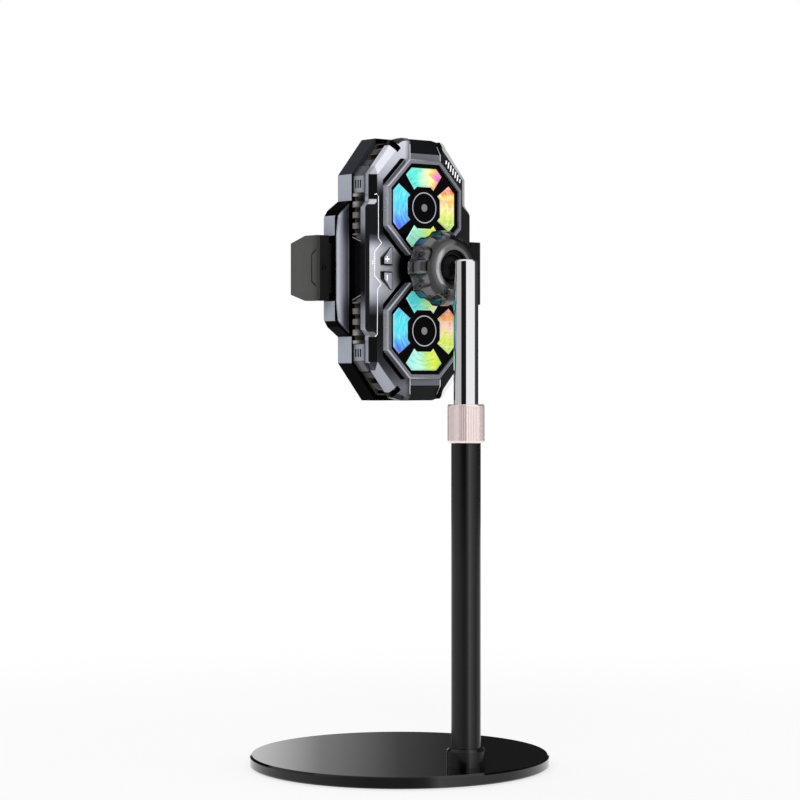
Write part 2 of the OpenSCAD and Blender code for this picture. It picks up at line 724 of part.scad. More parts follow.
// Impeller: a cup round the stator and curved blades that are strips of a hollow cylinder
module blade() {
    mid_y = (impeller_back_y + impeller_front_y) / 2;
    cross_slab(hub_r - 0.3, impeller_r - 0.2) intersection() {
        translate([mid_y + 0.796 * 6.2, 0.605 * 6.2]) difference() {
            circle(r = blade_arc_r);
            circle(r = blade_arc_r - blade_t);
        }
        translate([impeller_front_y + 0.2, -3.4]) square([impeller_back_y - impeller_front_y - 0.4, 6]);
    }
}
module fan_impeller(side) {
    at_fan(side) {
        difference() {
            bar(hub_r, impeller_front_y, impeller_back_y);
            bar(hub_r - hub_wall, impeller_front_y - 1, impeller_back_y - 0.8);
        }
        bar(shaft_r, cover_back_y + 0.4, impeller_back_y - 0.4);
        for (i = [0:blade_count - 1]) rotate([0, 360 / blade_count * i, 0]) blade();
    }
}
module upper_impeller() color([0.75, 0.9, 0.95]) fan_impeller(1);
module lower_impeller() color([0.75, 0.9, 0.95]) fan_impeller(-1);

// Electronics
module circuit_board() color([0.05, 0.25, 0.12]) at_cooler()
    slab(board_y - board_t, board_y) square([2 * front_w - 5.6, 2 * board_half_h], center = true);

module button_switches() color([0.7, 0.7, 0.7]) at_cooler() for (m = [-1, 1]) {
    slab(board_y - board_t - switch_h + 0.3, board_y - board_t)
        translate([switch_x, m * switch_z]) square(3, center = true);
    bar(0.8, board_y - board_t - switch_h, board_y - board_t - switch_h + 0.3, switch_x, m * switch_z);
}

// Button outline in the XZ plane: m is 1 for plus and -1 for minus
function button_outline(m) = let (x = button_quarter_x, z = button_z,
    p = [[x[0], z[0]], [x[2], z[0]], [x[2], z[2]], [x[1], z[2]], [x[0], z[1]]])
    m > 0 ? p : reversed([for (q = p) [q[0], -q[1]]]);

module button(m) {
    at_cooler() {
        chamfered(button_outline(m), face_y - button_proud, face_y + face_t + 0.05, 0.25);
        slab(face_y + face_t + 0.05, face_y + face_t + 0.6) polygon(inset(button_outline(m), -button_lip));
        bar(1, face_y + face_t + 0.6, face_y + face_t + 0.85, switch_x, m * switch_z);
    }
}
module plus_button() color([0.7, 0.7, 0.74]) button(1);
module minus_button() color([0.7, 0.7, 0.74]) button(-1);

module usb_socket() color([0.75, 0.75, 0.77]) at_cooler() difference() {
    translate([-usb_w / 2, front_back_y + usb_shelf, -half_h + 0.4]) cube([usb_w, usb_t, usb_len]);
    translate([-usb_w / 2 + 0.4, front_back_y + usb_shelf + 0.4, -half_h - 1])
        cube([usb_w - 0.8, usb_t - 0.8, usb_len]);
}

// Panels in the gap between the housings
module side_panel(x) {
    at_cooler() to_side(x) cross_slab(panel_in_x, fin_out_x)
        polygon([[rear_front_y, -12.6], [rear_front_y, 12.6], [front_back_y, 10.6], [front_back_y, -10.6]]);
}
module left_side_panel() color([0.03, 0.03, 0.035]) side_panel(-1);
module right_side_panel() color([0.03, 0.03, 0.035]) side_panel(1);

module vent_plates() color([0.6, 0.6, 0.63]) at_cooler() for (x = [-1, 1], z = [-1, 1]) to_side(x, z)
    difference() {
        slab(front_back_y, rear_front_y) polygon([[vent_in_x, vent_low], [rear_w - 1.3, vent_low],
            [rear_w - 1.3, shoulder_z - 0.4], [rear_w - 4.4, shoulder_z + 3.4],
            [rear_w - 5.2, shoulder_z + 2.7], [vent_in_x, shoulder_z - 0.8]]);
        for (i = [0:2]) translate([rear_w - 3, rear_front_y - 1.7 - 1.5 * i, vent_low + 1.8])
            cube([3, 0.8, 3.2]);
    }

// The wing trims' outer edge bulges by a gentle arc
module wing_trim(x) {
    at_cooler() to_side(x) intersection() {
        chamfered([[rear_w + 0.7, -wing_top + 1.2], [wing_step_w - 1, -wing_step_h + 0.6],
            [wing_w - 0.4, -wing_h + 0.6], [wing_w - 0.4, wing_h - 0.6],
            [wing_step_w - 1, wing_step_h - 0.6], [rear_w + 0.7, wing_top - 1.2]],
            wing_front_y - 1.2, wing_front_y, 0.5);
        bar(trim_arc_r, wing_front_y - 2, wing_front_y + 1, wing_w + 0.1 - trim_arc_r, 0);
    }
}
module left_wing_trim() color([0.75, 0.76, 0.8]) wing_trim(-1);
module right_wing_trim() color([0.75, 0.76, 0.8]) wing_trim(1);

module housing_screws() color([0.62, 0.62, 0.64]) at_cooler() for (x = [-1, 1], z = [-1, 1]) {
    difference() {
        bar(m2_head_r, rear_back_y - m2_head_h, rear_back_y - 0.1, x * pillar_x, z * pillar_z);
        translate([x * pillar_x - 1.3, rear_back_y - 0.7, z * pillar_z - 0.25]) cube([2.6, 1, 0.5]);
        translate([x * pillar_x - 0.25, rear_back_y - 0.7, z * pillar_z - 1.3]) cube([0.5, 1, 2.6]);
    }
    bar(m2_r, bevel_y + 0.6, rear_back_y - m2_head_h, x * pillar_x, z * pillar_z);
}

// Clamp: two arms with racks on one pinion, each with a jaw, a pad and a screw
// A straight rack along X with trapezoid teeth that point to +Z from z = 0; tooth gaps are centred on x = 0
module rack(x0, x1) {
    n0 = ceil((x0 + pitch / 2) / pitch);
    n1 = floor((x1 - pitch / 2) / pitch);
    slope = tan(20);
    half_root = pitch / 4 + rack_dedendum * slope - tooth_slack;
    half_tip = pitch / 4 - rack_addendum * slope - tooth_slack;
    translate([x0, -rack_bar_h]) square([x1 - x0, rack_bar_h]);
    for (i = [n0:n1]) translate([(i - 0.5) * pitch, 0]) polygon([[-half_root, -0.2], [half_root, -0.2],
        [half_root, 0], [half_tip, rack_addendum + rack_dedendum], [-half_tip, rack_addendum + rack_dedendum],
        [-half_root, 0]]);
}

module arm_body() {
    slab(arm_front_y, arm_back_y) translate([arm_block_x, -jaw_half_h])
        square([arm_out_x - arm_block_x, 2 * jaw_half_h]);
    slab(neck_front_y, neck_back_y) translate([arm_in_x, -neck_half_h])
        square([arm_block_x - arm_in_x + 0.5, 2 * neck_half_h]);
}

module arm_screw_hole() {
    bar(0.9 + fit, arm_front_y - 1, jaw_tip_y, screw_x, 0);
    bar(1.4 + fit, arm_front_y - 1, arm_front_y + 1.3, screw_x, 0);
}

module left_arm() color([0.07, 0.07, 0.075]) at_cooler() difference() {
    union() {
        to_side(-1) arm_body();
        slab(rack_front_y, rack_back_y) {
            translate([0, rack_top_z - rack_bar_h]) mirror([0, 1]) rack(-leg_x - 0.4, rack_reach);
            polygon([[-leg_x - leg_w, neck_half_h - 0.5], [-leg_x, neck_half_h - 0.5],
                [-leg_x, rack_top_z], [-leg_x - leg_w + leg_corner, rack_top_z],
                [-leg_x - leg_w, rack_top_z - leg_corner]]);
        }
    }
    to_side(-1) arm_screw_hole();
}

module right_arm() color([0.07, 0.07, 0.075]) at_cooler() difference() {
    union() {
        arm_body();
        slab(rack_front_y, rack_back_y) {
            translate([0, pinion_z - pinion_r - rack_dedendum]) rack(-rack_reach + 0.5, leg_x + leg_w);
            polygon([[leg_x, neck_half_h - 0.5], [leg_x + leg_w, neck_half_h - 0.5],
                [leg_x + leg_w, pinion_z - pinion_r - rack_dedendum],
                [leg_x, pinion_z - pinion_r - rack_dedendum]]);
        }
    }
    arm_screw_hole();
}

// Jaw on the right-hand side: a plate outside the arm, a thick wall beside the phone and a lip over its edge
module jaw_shape() {
    difference() {
        intersection() {
            slab(arm_front_y, jaw_tip_y) translate([jaw_in_x - lip_reach, -jaw_half_h])
                square([jaw_out_x - jaw_in_x + lip_reach, 2 * jaw_half_h]);
            cross_slab(jaw_in_x - lip_reach, jaw_out_x) polygon([[arm_front_y, -jaw_half_h + 0.6],
                [arm_front_y + 0.6, -jaw_half_h], [arm_back_y + 3, -jaw_half_h],
                [jaw_tip_y - jaw_round, -jaw_half_h + jaw_taper],
                [jaw_tip_y, -jaw_half_h + jaw_taper + jaw_round],
                [jaw_tip_y, jaw_half_h - jaw_taper - jaw_round],
                [jaw_tip_y - jaw_round, jaw_half_h - jaw_taper],
                [arm_back_y + 3, jaw_half_h], [arm_front_y + 0.6, jaw_half_h], [arm_front_y, jaw_half_h - 0.6]]);
            translate([0, 0, -jaw_half_h]) linear_extrude(2 * jaw_half_h) polygon([
                [jaw_out_x - 0.5, arm_front_y], [jaw_out_x, arm_front_y + 0.5], [jaw_out_x, jaw_tip_y - 1.4],
                [jaw_out_x - 1.4, jaw_tip_y], [jaw_in_x - lip_reach, jaw_tip_y],
                [jaw_in_x - lip_reach, jaw_tip_y - 0.7], [jaw_in_x, jaw_tip_y - 1.1],
                [jaw_in_x, arm_back_y], [arm_out_x, arm_back_y], [arm_out_x, arm_front_y]]);
        }
        bar(0.9 + fit, arm_back_y - 1, arm_back_y + 5, screw_x, 0);
        jaw_mark();
    }
}

// Engraved bracket on the jaw's outer face
module jaw_mark() {
    translate([jaw_out_x - mark_d, 0, 0]) cross_slab(0, 1) difference() {
        polygon([[arm_front_y + 1, -7.4], [arm_front_y + 4, -5.4], [arm_front_y + 4, 5.4], [arm_front_y + 1, 7.4]]);
        polygon([[arm_front_y + 0.9, -7.0], [arm_front_y + 4 - mark_w, -5.2],
            [arm_front_y + 4 - mark_w, 5.2], [arm_front_y + 0.9, 7.0]]);
    }
}
module left_jaw() color([0.2, 0.2, 0.21]) at_cooler() to_side(-1) jaw_shape();
module right_jaw() color([0.2, 0.2, 0.21]) at_cooler() jaw_shape();

module jaw_pad_shape() {
    slab(arm_back_y + 1.2, jaw_tip_y - 1.4) translate([phone_half, -jaw_half_h + jaw_taper + 0.6])
        square([jaw_pad_t, 2 * (jaw_half_h - jaw_taper - 0.6)]);
}
module left_jaw_pad() color([0.1, 0.1, 0.1]) at_cooler() to_side(-1) jaw_pad_shape();
module right_jaw_pad() color([0.1, 0.1, 0.1]) at_cooler() jaw_pad_shape();

module jaw_screw_shape() {
    difference() {
        bar(1.4, arm_front_y + 0.3, arm_front_y + 1.3, screw_x, 0);
        translate([screw_x - 0.9, arm_front_y, -0.2]) cube([1.8, 0.8, 0.4]);
        translate([screw_x - 0.2, arm_front_y, -0.9]) cube([0.4, 0.8, 1.8]);
    }
    bar(0.9, arm_front_y + 1.3, arm_back_y + 4.8, screw_x, 0);
}
module left_jaw_screw() color([0.12, 0.12, 0.12]) at_cooler() to_side(-1) jaw_screw_shape();
module right_jaw_screw() color([0.12, 0.12, 0.12]) at_cooler() jaw_screw_shape();

// Involute pinion: each flank unwinds from the base circle of a 20 degree gear
function involute(t) = base_r * [cos(t) + t * PI / 180 * sin(t), sin(t) - t * PI / 180 * cos(t)];
function involute_angle(r) = let (t = sqrt(pow(r / base_r, 2) - 1)) t * 180 / PI - atan(t);
function unwind(r) = sqrt(pow(r / base_r, 2) - 1) * 180 / PI;
function turned(p, a) = [p[0] * cos(a) - p[1] * sin(a), p[0] * sin(a) + p[1] * cos(a)];

half_tooth = 90 / pinion_teeth + involute_angle(pinion_r) - tooth_slack / pinion_r * 180 / PI;
function flank() = [for (i = [0:4]) turned(involute(unwind(tip_r) * i / 4), -half_tooth)];
function tooth() = concat([root_r * [cos(-half_tooth), sin(-half_tooth)]], flank(),
    [for (p = reversed(flank())) [p[0], -p[1]]], [root_r * [cos(half_tooth), sin(half_tooth)]]);

module pinion() color([0.85, 0.85, 0.8]) at_cooler() difference() {
    slab(rack_front_y, rack_back_y) translate([0, pinion_z]) {
        circle(r = root_r);
        for (i = [0:pinion_teeth - 1]) rotate(90 + i * 360 / pinion_teeth) polygon(tooth());
    }
    bar(axle_r + fit, rack_front_y - 1, rack_back_y + 1, 0, pinion_z);
}

// Torsion spring round the pinion's axle: one tube that follows a helix
module pinion_spring() color([0.7, 0.7, 0.72]) at_cooler() translate([0, module_front_y + gap + 0.4, pinion_z])
    rotate([-90, 0, 0]) {
        length = rack_front_y - module_front_y - gap - 0.4 - wire_r - 0.15;
        steps = spring_turns * ring_steps;
        points = [for (i = [0:steps]) let (a = i * 360 / ring_steps, h = length * i / steps)
            for (k = [0:5]) let (c = spring_r + wire_r * cos(60 * k)) [c * cos(a), c * sin(a), h + wire_r * sin(60 * k)]];
        sides = [for (i = [0:steps - 1]) for (k = [0:5]) for (f = [
            [6 * i + k, 6 * i + 6 + k, 6 * i + (k + 1) % 6],
            [6 * i + (k + 1) % 6, 6 * i + 6 + k, 6 * i + 6 + (k + 1) % 6]]) f];
        polyhedron(points = points, faces = concat(sides, [[0, 1, 2, 3, 4, 5]],
            [[for (k = [5:-1:0]) 6 * steps + k]]));
    }

base_disc();
base_pad();
pole_socket();
base_screw();
lower_tube();
lower_tube_plug();
collar_bush();
lock_collar();
guide_ring();
upper_tube();
head_plug();
ball_stud();
ball_seat_rear();
ball_seat_front();
ball_socket();
socket_screws();
lock_nut();
rear_housing();
cold_plate();
contact_pad();
cooling_module();
heat_sink();
front_housing();
upper_rim();
lower_rim();
upper_fan_cover();
lower_fan_cover();
upper_windows();
lower_windows();
upper_light_ring();
lower_light_ring();
upper_motor();
lower_motor();
upper_hub_ring();
lower_hub_ring();
upper_impeller();
lower_impeller();
circuit_board();
button_switches();
plus_button();
minus_button();
usb_socket();
left_side_panel();
right_side_panel();
vent_plates();
left_wing_trim();
right_wing_trim();
housing_screws();
left_arm();
left_jaw();
left_jaw_pad();
left_jaw_screw();
right_arm();
right_jaw();
right_jaw_pad();
right_jaw_screw();
pinion();
pinion_spring();
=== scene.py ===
# %% [markdown]
# # A phone cooling fan on a desk stand
# A cooler with two small fans grips a phone. It hangs by a ball joint on a telescopic pole, and the pole
# stands in a round base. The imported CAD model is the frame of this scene: it says where everything is.
# This lesson adds what a drawing of sizes lacks: finishes, a few finely shaped pieces, and a studio.

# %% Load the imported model
import math

import bpy
import numpy as np
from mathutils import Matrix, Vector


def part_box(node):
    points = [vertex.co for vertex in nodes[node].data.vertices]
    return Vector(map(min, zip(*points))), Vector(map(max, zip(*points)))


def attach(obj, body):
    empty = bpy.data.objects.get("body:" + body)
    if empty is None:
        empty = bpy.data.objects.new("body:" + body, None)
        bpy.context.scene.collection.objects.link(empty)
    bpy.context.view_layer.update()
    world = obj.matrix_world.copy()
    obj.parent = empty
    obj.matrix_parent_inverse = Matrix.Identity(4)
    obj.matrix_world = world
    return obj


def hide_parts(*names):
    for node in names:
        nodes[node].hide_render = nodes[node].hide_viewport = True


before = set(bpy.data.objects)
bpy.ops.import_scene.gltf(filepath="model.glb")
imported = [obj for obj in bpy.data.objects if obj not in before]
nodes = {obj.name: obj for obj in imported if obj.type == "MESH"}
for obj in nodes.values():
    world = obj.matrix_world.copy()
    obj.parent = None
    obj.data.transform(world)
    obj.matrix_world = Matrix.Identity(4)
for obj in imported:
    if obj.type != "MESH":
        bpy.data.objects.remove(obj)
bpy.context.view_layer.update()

# %% [markdown]
# ## Sizes and colours
# The model is in metres, and a maker thinks of such a part in millimetres. The cooler's own zero is the
# middle of its front, 198.6 mm above the table. Colours are picked on a screen, so each is written as a web
# colour and turned into the linear numbers that Blender mixes.

# %% Units, places and colours
MM = 0.001
COOLER_Z = 198.6
COOLER = (0, 0, COOLER_Z)
FAN_OFFSET = 24.4
FACE_Y = -13.3
POLE_Y = -41.0
BALL = (0.0, -27.5, COOLER_Z)


def colour(web):
    """A web colour such as #A5A9B4 as linear red, green, blue and 1."""
    screen = np.array([int(web[i:i + 2], 16) for i in (1, 3, 5)]) / 255
    linear = np.where(screen > 0.04045, ((screen + 0.055) / 1.055) ** 2.4, screen / 12.92)
    return (*[float(c) for c in linear], 1.0)


def add_object(name, data):
    """A new object in the scene."""
    new = bpy.data.objects.new(name, data)
    bpy.context.scene.collection.objects.link(new)
    return new


low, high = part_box("lock_nut")
print("lock nut from", [round(v / MM, 1) for v in low], "to", [round(v / MM, 1) for v in high], "mm")

# %% [markdown]
# ## The camera
# The photograph is taken almost level, from the left of the front, with a long lens. A level camera keeps the
# pole upright; a small lens shift moves the picture instead of tipping the camera.

# %% Camera
VIEW_ANGLE = math.radians(39)
CAMERA_AWAY, CAMERA_HIGH = 0.970, 0.1538
camera_data = bpy.data.cameras.new("camera")
camera_data.sensor_width = 36
camera_data.lens = 108.7
camera_data.shift_x = 0.0006
camera_data.shift_y = -0.022
camera_data.clip_start = 0.01
camera = add_object("camera", camera_data)
camera.location = (-CAMERA_AWAY * math.sin(VIEW_ANGLE), -CAMERA_AWAY * math.cos(VIEW_ANGLE), CAMERA_HIGH)
camera.rotation_euler = (math.pi / 2, 0, -VIEW_ANGLE)
bpy.context.scene.camera = camera
bpy.context.scene.view_settings.view_transform = "Standard"
print("camera at", [round(v, 3) for v in camera.location])

# %% [markdown]
# ## A bench for node trees
# A material in Blender is a tree of nodes. It can be clicked together by hand, but many materials that share
# their ways are quicker and safer to read as code, so one small class adds nodes and joins them.

# %% The bench


class Bench:
    """A node tree on the bench, with short ways to add nodes and to join them."""

    def __init__(self, tree):
        self.tree = tree
        self.axes = {}

    def add(self, kind, values=(), **settings):
        """A node of that kind; a value that is a socket is joined, any other is set."""
        node = self.tree.nodes.new(kind)
        for key, value in settings.items():
            setattr(node, key, value)
        for socket, value in dict(values).items():
            if isinstance(value, bpy.types.NodeSocket):
                self.tree.links.new(value, node.inputs[socket])
            else:
                node.inputs[socket].default_value = value
        return node

    def sum(self, operation, *values, clamp=False):
        """One step of arithmetic on numbers or sockets."""
        return self.add("ShaderNodeMath", enumerate(values), operation=operation, use_clamp=clamp).outputs[0]

    def here(self):
        """The point on the object in metres."""
        return self.add("ShaderNodeTexCoord").outputs["Object"]

    def place(self, centre=(0, 0, 0)):
        """The point on the object in millimetres, as X, Y and Z from a centre in millimetres."""
        if centre not in self.axes:
            moved = self.add("ShaderNodeMapping", {"Vector": self.here(), "Location": [-c for c in centre],
                                                   "Scale": (1000, 1000, 1000)})
            self.axes[centre] = self.add("ShaderNodeSeparateXYZ", {0: moved.outputs[0]}).outputs
        return self.axes[centre]

    def size(self, value):
        """A number without its sign."""
        return self.sum("ABSOLUTE", value)

    def distance(self, a, b):
        """How far a point is from the axis where a and b are both zero."""
        return self.sum("SQRT", self.sum("ADD", self.sum("MULTIPLY", a, a), self.sum("MULTIPLY", b, b)))

    def heading(self, x, y):
        """The direction from an upright axis in degrees: 0 towards +X, 90 towards +Y, at most 180."""
        return self.sum("MULTIPLY", self.sum("ARCTAN2", y, x), math.degrees(1))

    def rise(self, value, edge, soft=0.15):
        """0 below the edge and 1 above it, with a soft step."""
        limits = {"Value": value, "From Min": edge - soft, "From Max": edge + soft}
        return self.add("ShaderNodeMapRange", limits, interpolation_type="SMOOTHSTEP").outputs[0]

    def fall(self, value, edge, soft=0.15):
        """1 below the edge and 0 above it, with a soft step."""
        return self.sum("SUBTRACT", 1.0, self.rise(value, edge, soft))

    def span(self, value, low, high, soft=0.15):
        """1 between low and high, and 0 outside."""
        return self.sum("SUBTRACT", self.rise(value, low, soft), self.rise(value, high, soft), clamp=True)

    def both(self, *masks):
        """1 where every mask is 1."""
        result = masks[0]
        for mask in masks[1:]:
            result = self.sum("MULTIPLY", result, mask)
        return result

    def either(self, *masks):
        """1 where any mask is 1."""
        result = masks[0]
        for mask in masks[1:]:
            result = self.sum("MAXIMUM", result, mask)
        return result

    def ramp(self, value, stops):
        """A colour that changes with a value: stops are pairs of a value and a web colour."""
        first, last = stops[0][0], stops[-1][0]
        limits = {"Value": value, "From Min": first, "From Max": last}
        share = self.add("ShaderNodeMapRange", limits).outputs[0]
        node = self.add("ShaderNodeValToRGB", {"Fac": share})
        band = node.color_ramp
        while len(band.elements) < len(stops):
            band.elements.new(0.5)
        for element, (at, web) in zip(band.elements, stops):
            element.position = (at - first) / (last - first)
        for element, (at, web) in zip(band.elements, stops):
            element.color = colour(web)
        return node.outputs[0]

    def mix(self, mask, below, above):
        """The colour below where the mask is 0 and the one above where it is 1."""
        below, above = [colour(c) if isinstance(c, str) else c for c in (below, above)]
        return self.add("ShaderNodeMix", {0: mask, 6: below, 7: above}, data_type="RGBA").outputs[2]

    def noise(self, where, scale, detail=2, rough=0.5):
        """A cloudy pattern of numbers about 0.5, always the same at the same place."""
        values = {"Vector": where, "Scale": scale, "Detail": detail, "Roughness": rough}
        return self.add("ShaderNodeTexNoise", values).outputs[0]

    def seen_directly(self):
        """1 for rays that come from the camera, a mirror or glass, and 0 for rays that gather light."""
        ray = self.add("ShaderNodeLightPath").outputs
        return self.sum("MAXIMUM", ray["Is Camera Ray"],
                        self.sum("MAXIMUM", ray["Is Glossy Ray"], ray["Is Transmission Ray"]))


def shared_effect(name, inputs, outputs):
    """An empty node group with named number inputs and outputs, on a bench."""
    group = bpy.data.node_groups.new(name, "ShaderNodeTree")
    for socket, value in inputs.items():
        number = group.interface.new_socket(socket, in_out="INPUT", socket_type="NodeSocketFloat")
        number.default_value = value
    for socket in outputs:
        group.interface.new_socket(socket, in_out="OUTPUT", socket_type="NodeSocketFloat")
    bench = Bench(group)
    bench.given = bench.add("NodeGroupInput").outputs
    bench.result = bench.add("NodeGroupOutput").inputs
    return bench


print("bench ready")

# %% [markdown]
# ## Effects that many finishes share
# Moulded plastic has a fine grain, paint a faint cloudiness, and every handled thing has places that shine
# more than others. Each effect is a node group, made once. It could read a picture of scratches, but noise
# in the object's own coordinates needs no file and never shows a seam.

# %% Grain, cloud and drawn lines
grain = shared_effect("moulded grain", {"Size": 0.3}, ["Tone", "Height"])
scale = grain.sum("DIVIDE", 1000.0, grain.given["Size"])
fine = grain.noise(grain.here(), scale, 3, 0.6)
broad = grain.noise(grain.here(), grain.sum("DIVIDE", scale, 14.0))
cloud = grain.sum("ADD", grain.sum("MULTIPLY", fine, 0.55), grain.sum("MULTIPLY", broad, 0.45))
grain.tree.links.new(cloud, grain.result["Tone"])
grain.tree.links.new(fine, grain.result["Height"])

sheen = shared_effect("handled shine", {"Low": 0.1, "High": 0.2, "Size": 9.0}, ["Roughness"])
patches = sheen.noise(sheen.here(), sheen.sum("DIVIDE", 1000.0, sheen.given["Size"]), 4, 0.65)
level = sheen.add("ShaderNodeMapRange", {"Value": patches, "From Min": 0.3, "From Max": 0.7,
                                         "To Min": sheen.given["Low"], "To Max": sheen.given["High"]})
sheen.tree.links.new(level.outputs[0], sheen.result["Roughness"])

drawn = shared_effect("drawn lines", {"Across": 0.05, "Along": 12.0}, ["Tone", "Height"])
across, along = [drawn.sum("DIVIDE", 1000.0, drawn.given[way]) for way in ("Across", "Along")]
stretch = drawn.add("ShaderNodeCombineXYZ", {0: across, 1: across, 2: along})
pulled = drawn.add("ShaderNodeVectorMath", {0: drawn.here(), 1: stretch.outputs[0]}, operation="MULTIPLY")
lines = drawn.noise(pulled.outputs[0], 1.0)
drawn.tree.links.new(lines, drawn.result["Tone"])
drawn.tree.links.new(lines, drawn.result["Height"])
print(len(bpy.data.node_groups), "shared effects")

# %% [markdown]
# ## Making a finish
# Every finish has the same build: a colour that the grain varies a little, a roughness that wanders between
# two values, and a bump at most 0.05 mm deep. What is the same all over goes straight to the shader.

# %% A finish
finishes = {}


def start(name):
    """A new material on the bench."""
    material = bpy.data.materials.new(name)
    material.use_nodes = True
    bench = Bench(material.node_tree)
    bench.shader = material.node_tree.nodes["Principled BSDF"]
    finishes[name] = material
    return bench


def surface(bench, paint, rough, size=0.3, tone=0.08, bump=0.01, patch=9.0, lines=None, **shader):
    """Paint with its tone varied by the grain, roughness between two values, and a bump in millimetres."""
    if lines:
        texture = bench.add("ShaderNodeGroup", {"Across": lines[0], "Along": lines[1]}, node_tree=drawn.tree)
    else:
        texture = bench.add("ShaderNodeGroup", {"Size": size}, node_tree=grain.tree)
    paint = colour(paint) if isinstance(paint, str) else paint
    limits = {"Value": texture.outputs["Tone"], "From Min": 0.3, "From Max": 0.7,
              "To Min": 1 - tone, "To Max": 1 + tone}
    shade = bench.add("ShaderNodeMapRange", limits, clamp=False).outputs[0]
    toned = bench.add("ShaderNodeMix", {0: 1.0, 6: paint, 7: shade}, data_type="RGBA", blend_type="MULTIPLY")
    bench.toned = toned.outputs[2]
    shine = {"Low": rough[0], "High": rough[1], "Size": patch}
    wander = bench.add("ShaderNodeGroup", shine, node_tree=sheen.tree)
    relief = bench.add("ShaderNodeBump", {"Height": texture.outputs["Height"], "Distance": bump * MM,
                                          "Strength": 1.0})
    for socket, value in (("Base Color", bench.toned), ("Roughness", wander.outputs[0]),
                          ("Normal", relief.outputs[0])):
        bench.tree.links.new(value, bench.shader.inputs[socket])
    for socket, value in shader.items():
        bench.shader.inputs[socket.replace("_", " ")].default_value = value


def wear(finish, *names):
    """Gives CAD nodes a finish, by their material slots."""
    for name in names:
        for slot in nodes[name].material_slots:
            slot.material = finishes[finish]
    print(finish, "on", ", ".join(names))


# %% [markdown]
# ## The stand's finishes
# The base is a steel disc in gloss black, the foot and the lower tube are semi-gloss black, the collar is
# rose gold, and the upper tube is chrome. A mirror shows only what is around it, so the chrome's bands come
# from the studio walls further down. The softer bands on the lower tube, the foot and the base's edge are
# painted reflections, laid round the piece by the direction from its own axis.

# %% Stand
BASE_SIDE = 59.3
base = start("gloss black")
x, y, z = base.place()
side = base.rise(base.distance(x, y), BASE_SIDE, 0.25)
# Painted reflections round the base's edge, by the direction from its axis.
side_painted_reflections = base.ramp(base.heading(x, y), [
    (-180, "#2A2A2B"), (-168, "#292929"), (-158, "#1D1D1D"), (-149, "#0F0F0F"), (-140, "#020202"),
    (-125, "#020202"), (-119, "#121212"), (-114, "#3D3D3D"), (-105, "#353535"), (-85, "#2C2C2C"),
    (-60, "#4A4A4A"), (-30, "#2A2A2B"), (180, "#2A2A2B")])
surface(base, base.mix(side, "#08080A", side_painted_reflections), (0.035, 0.075), size=0.15, tone=0.05, bump=0.0006,
        patch=30, Specular_IOR_Level=0.5, Coat_Weight=0.3, Coat_Roughness=0.04)
base.tree.links.new(side, base.shader.inputs["Metallic"])
surface(start("black rubber"), "#161617", (0.7, 0.85), size=0.4, tone=0.15, bump=0.05)
tube = start("semi-gloss black")
x, y, z = tube.place((0, POLE_Y, 0))
# Painted reflections round the lower tube and the foot, by the direction from the pole's axis.
tube_painted_reflections = tube.ramp(tube.heading(x, y), [
    (-180, "#232323"), (-163, "#1F1F20"), (-149, "#131313"), (-140, "#060606"), (-131, "#060606"),
    (-124, "#1C1C1D"), (-118, "#3F3F40"), (-112, "#39393A"), (-103, "#28282A"), (-90, "#0E0E0F"),
    (-70, "#1C1C1D"), (-40, "#141416"), (150, "#141416"), (180, "#232323")])
surface(tube, tube_painted_reflections, (0.14, 0.2), size=0.12, tone=0.06, bump=0.001, patch=14, Specular_IOR_Level=0.18)
surface(start("rose gold"), "#FCE9E8", (0.07, 0.11), tone=0.03, bump=0.0004, lines=(0.08, 6), Metallic=0.65)
surface(start("chrome"), "#E9E9EB", (0.03, 0.07), tone=0.02, bump=0.0003, lines=(0.05, 9), Metallic=1.0)
surface(start("white bushing"), "#DAD9D2", (0.35, 0.5), bump=0.004)
surface(start("steel"), "#A9AAAE", (0.25, 0.4), tone=0.1, lines=(0.05, 0.8), Metallic=1.0)
wear("gloss black", "base_disc")
wear("black rubber", "base_pad")
wear("semi-gloss black", "pole_socket", "lower_tube")
wear("rose gold", "lock_collar")
wear("chrome", "upper_tube", "head_plug")
wear("white bushing", "collar_bush", "guide_ring", "pinion")
wear("steel", "base_screw", "lower_tube_plug", "socket_screws", "housing_screws", "pinion_spring",
     "usb_socket")

# %% [markdown]
# ## The ball joint's finishes
# Socket and stud are black nylon. The lock nut is cast in smoky plastic that lets a little light through and
# mirrors the studio, so its shader is part metal and a little glass under a clear coat. A ramp along the
# joint's axis paints bands of highlight and shade on it. Masks paint shade on the flanks of its lobes and a
# highlight on the left of its lip.

# %% Ball joint
LOBES = 8
surface(start("black nylon"), "#060606", (0.25, 0.35), size=0.25, tone=0.12, bump=0.004,
        Specular_IOR_Level=0.12)
nut = start("smoked nut")
x, y, z = nut.place(BALL)
turn = nut.sum("MULTIPLY", nut.sum("ARCTAN2", z, x), LOBES)
# Painted shade on the flanks of the lobes.
flank_shade = nut.both(nut.span(nut.sum("COSINE", turn), -0.35, 0.1, 0.12), nut.rise(nut.distance(x, z), 12.6, 0.3))
# A painted highlight on the left of the lip.
crescent = nut.both(nut.fall(x, -5.6, 1.2), nut.fall(y, -6.2))
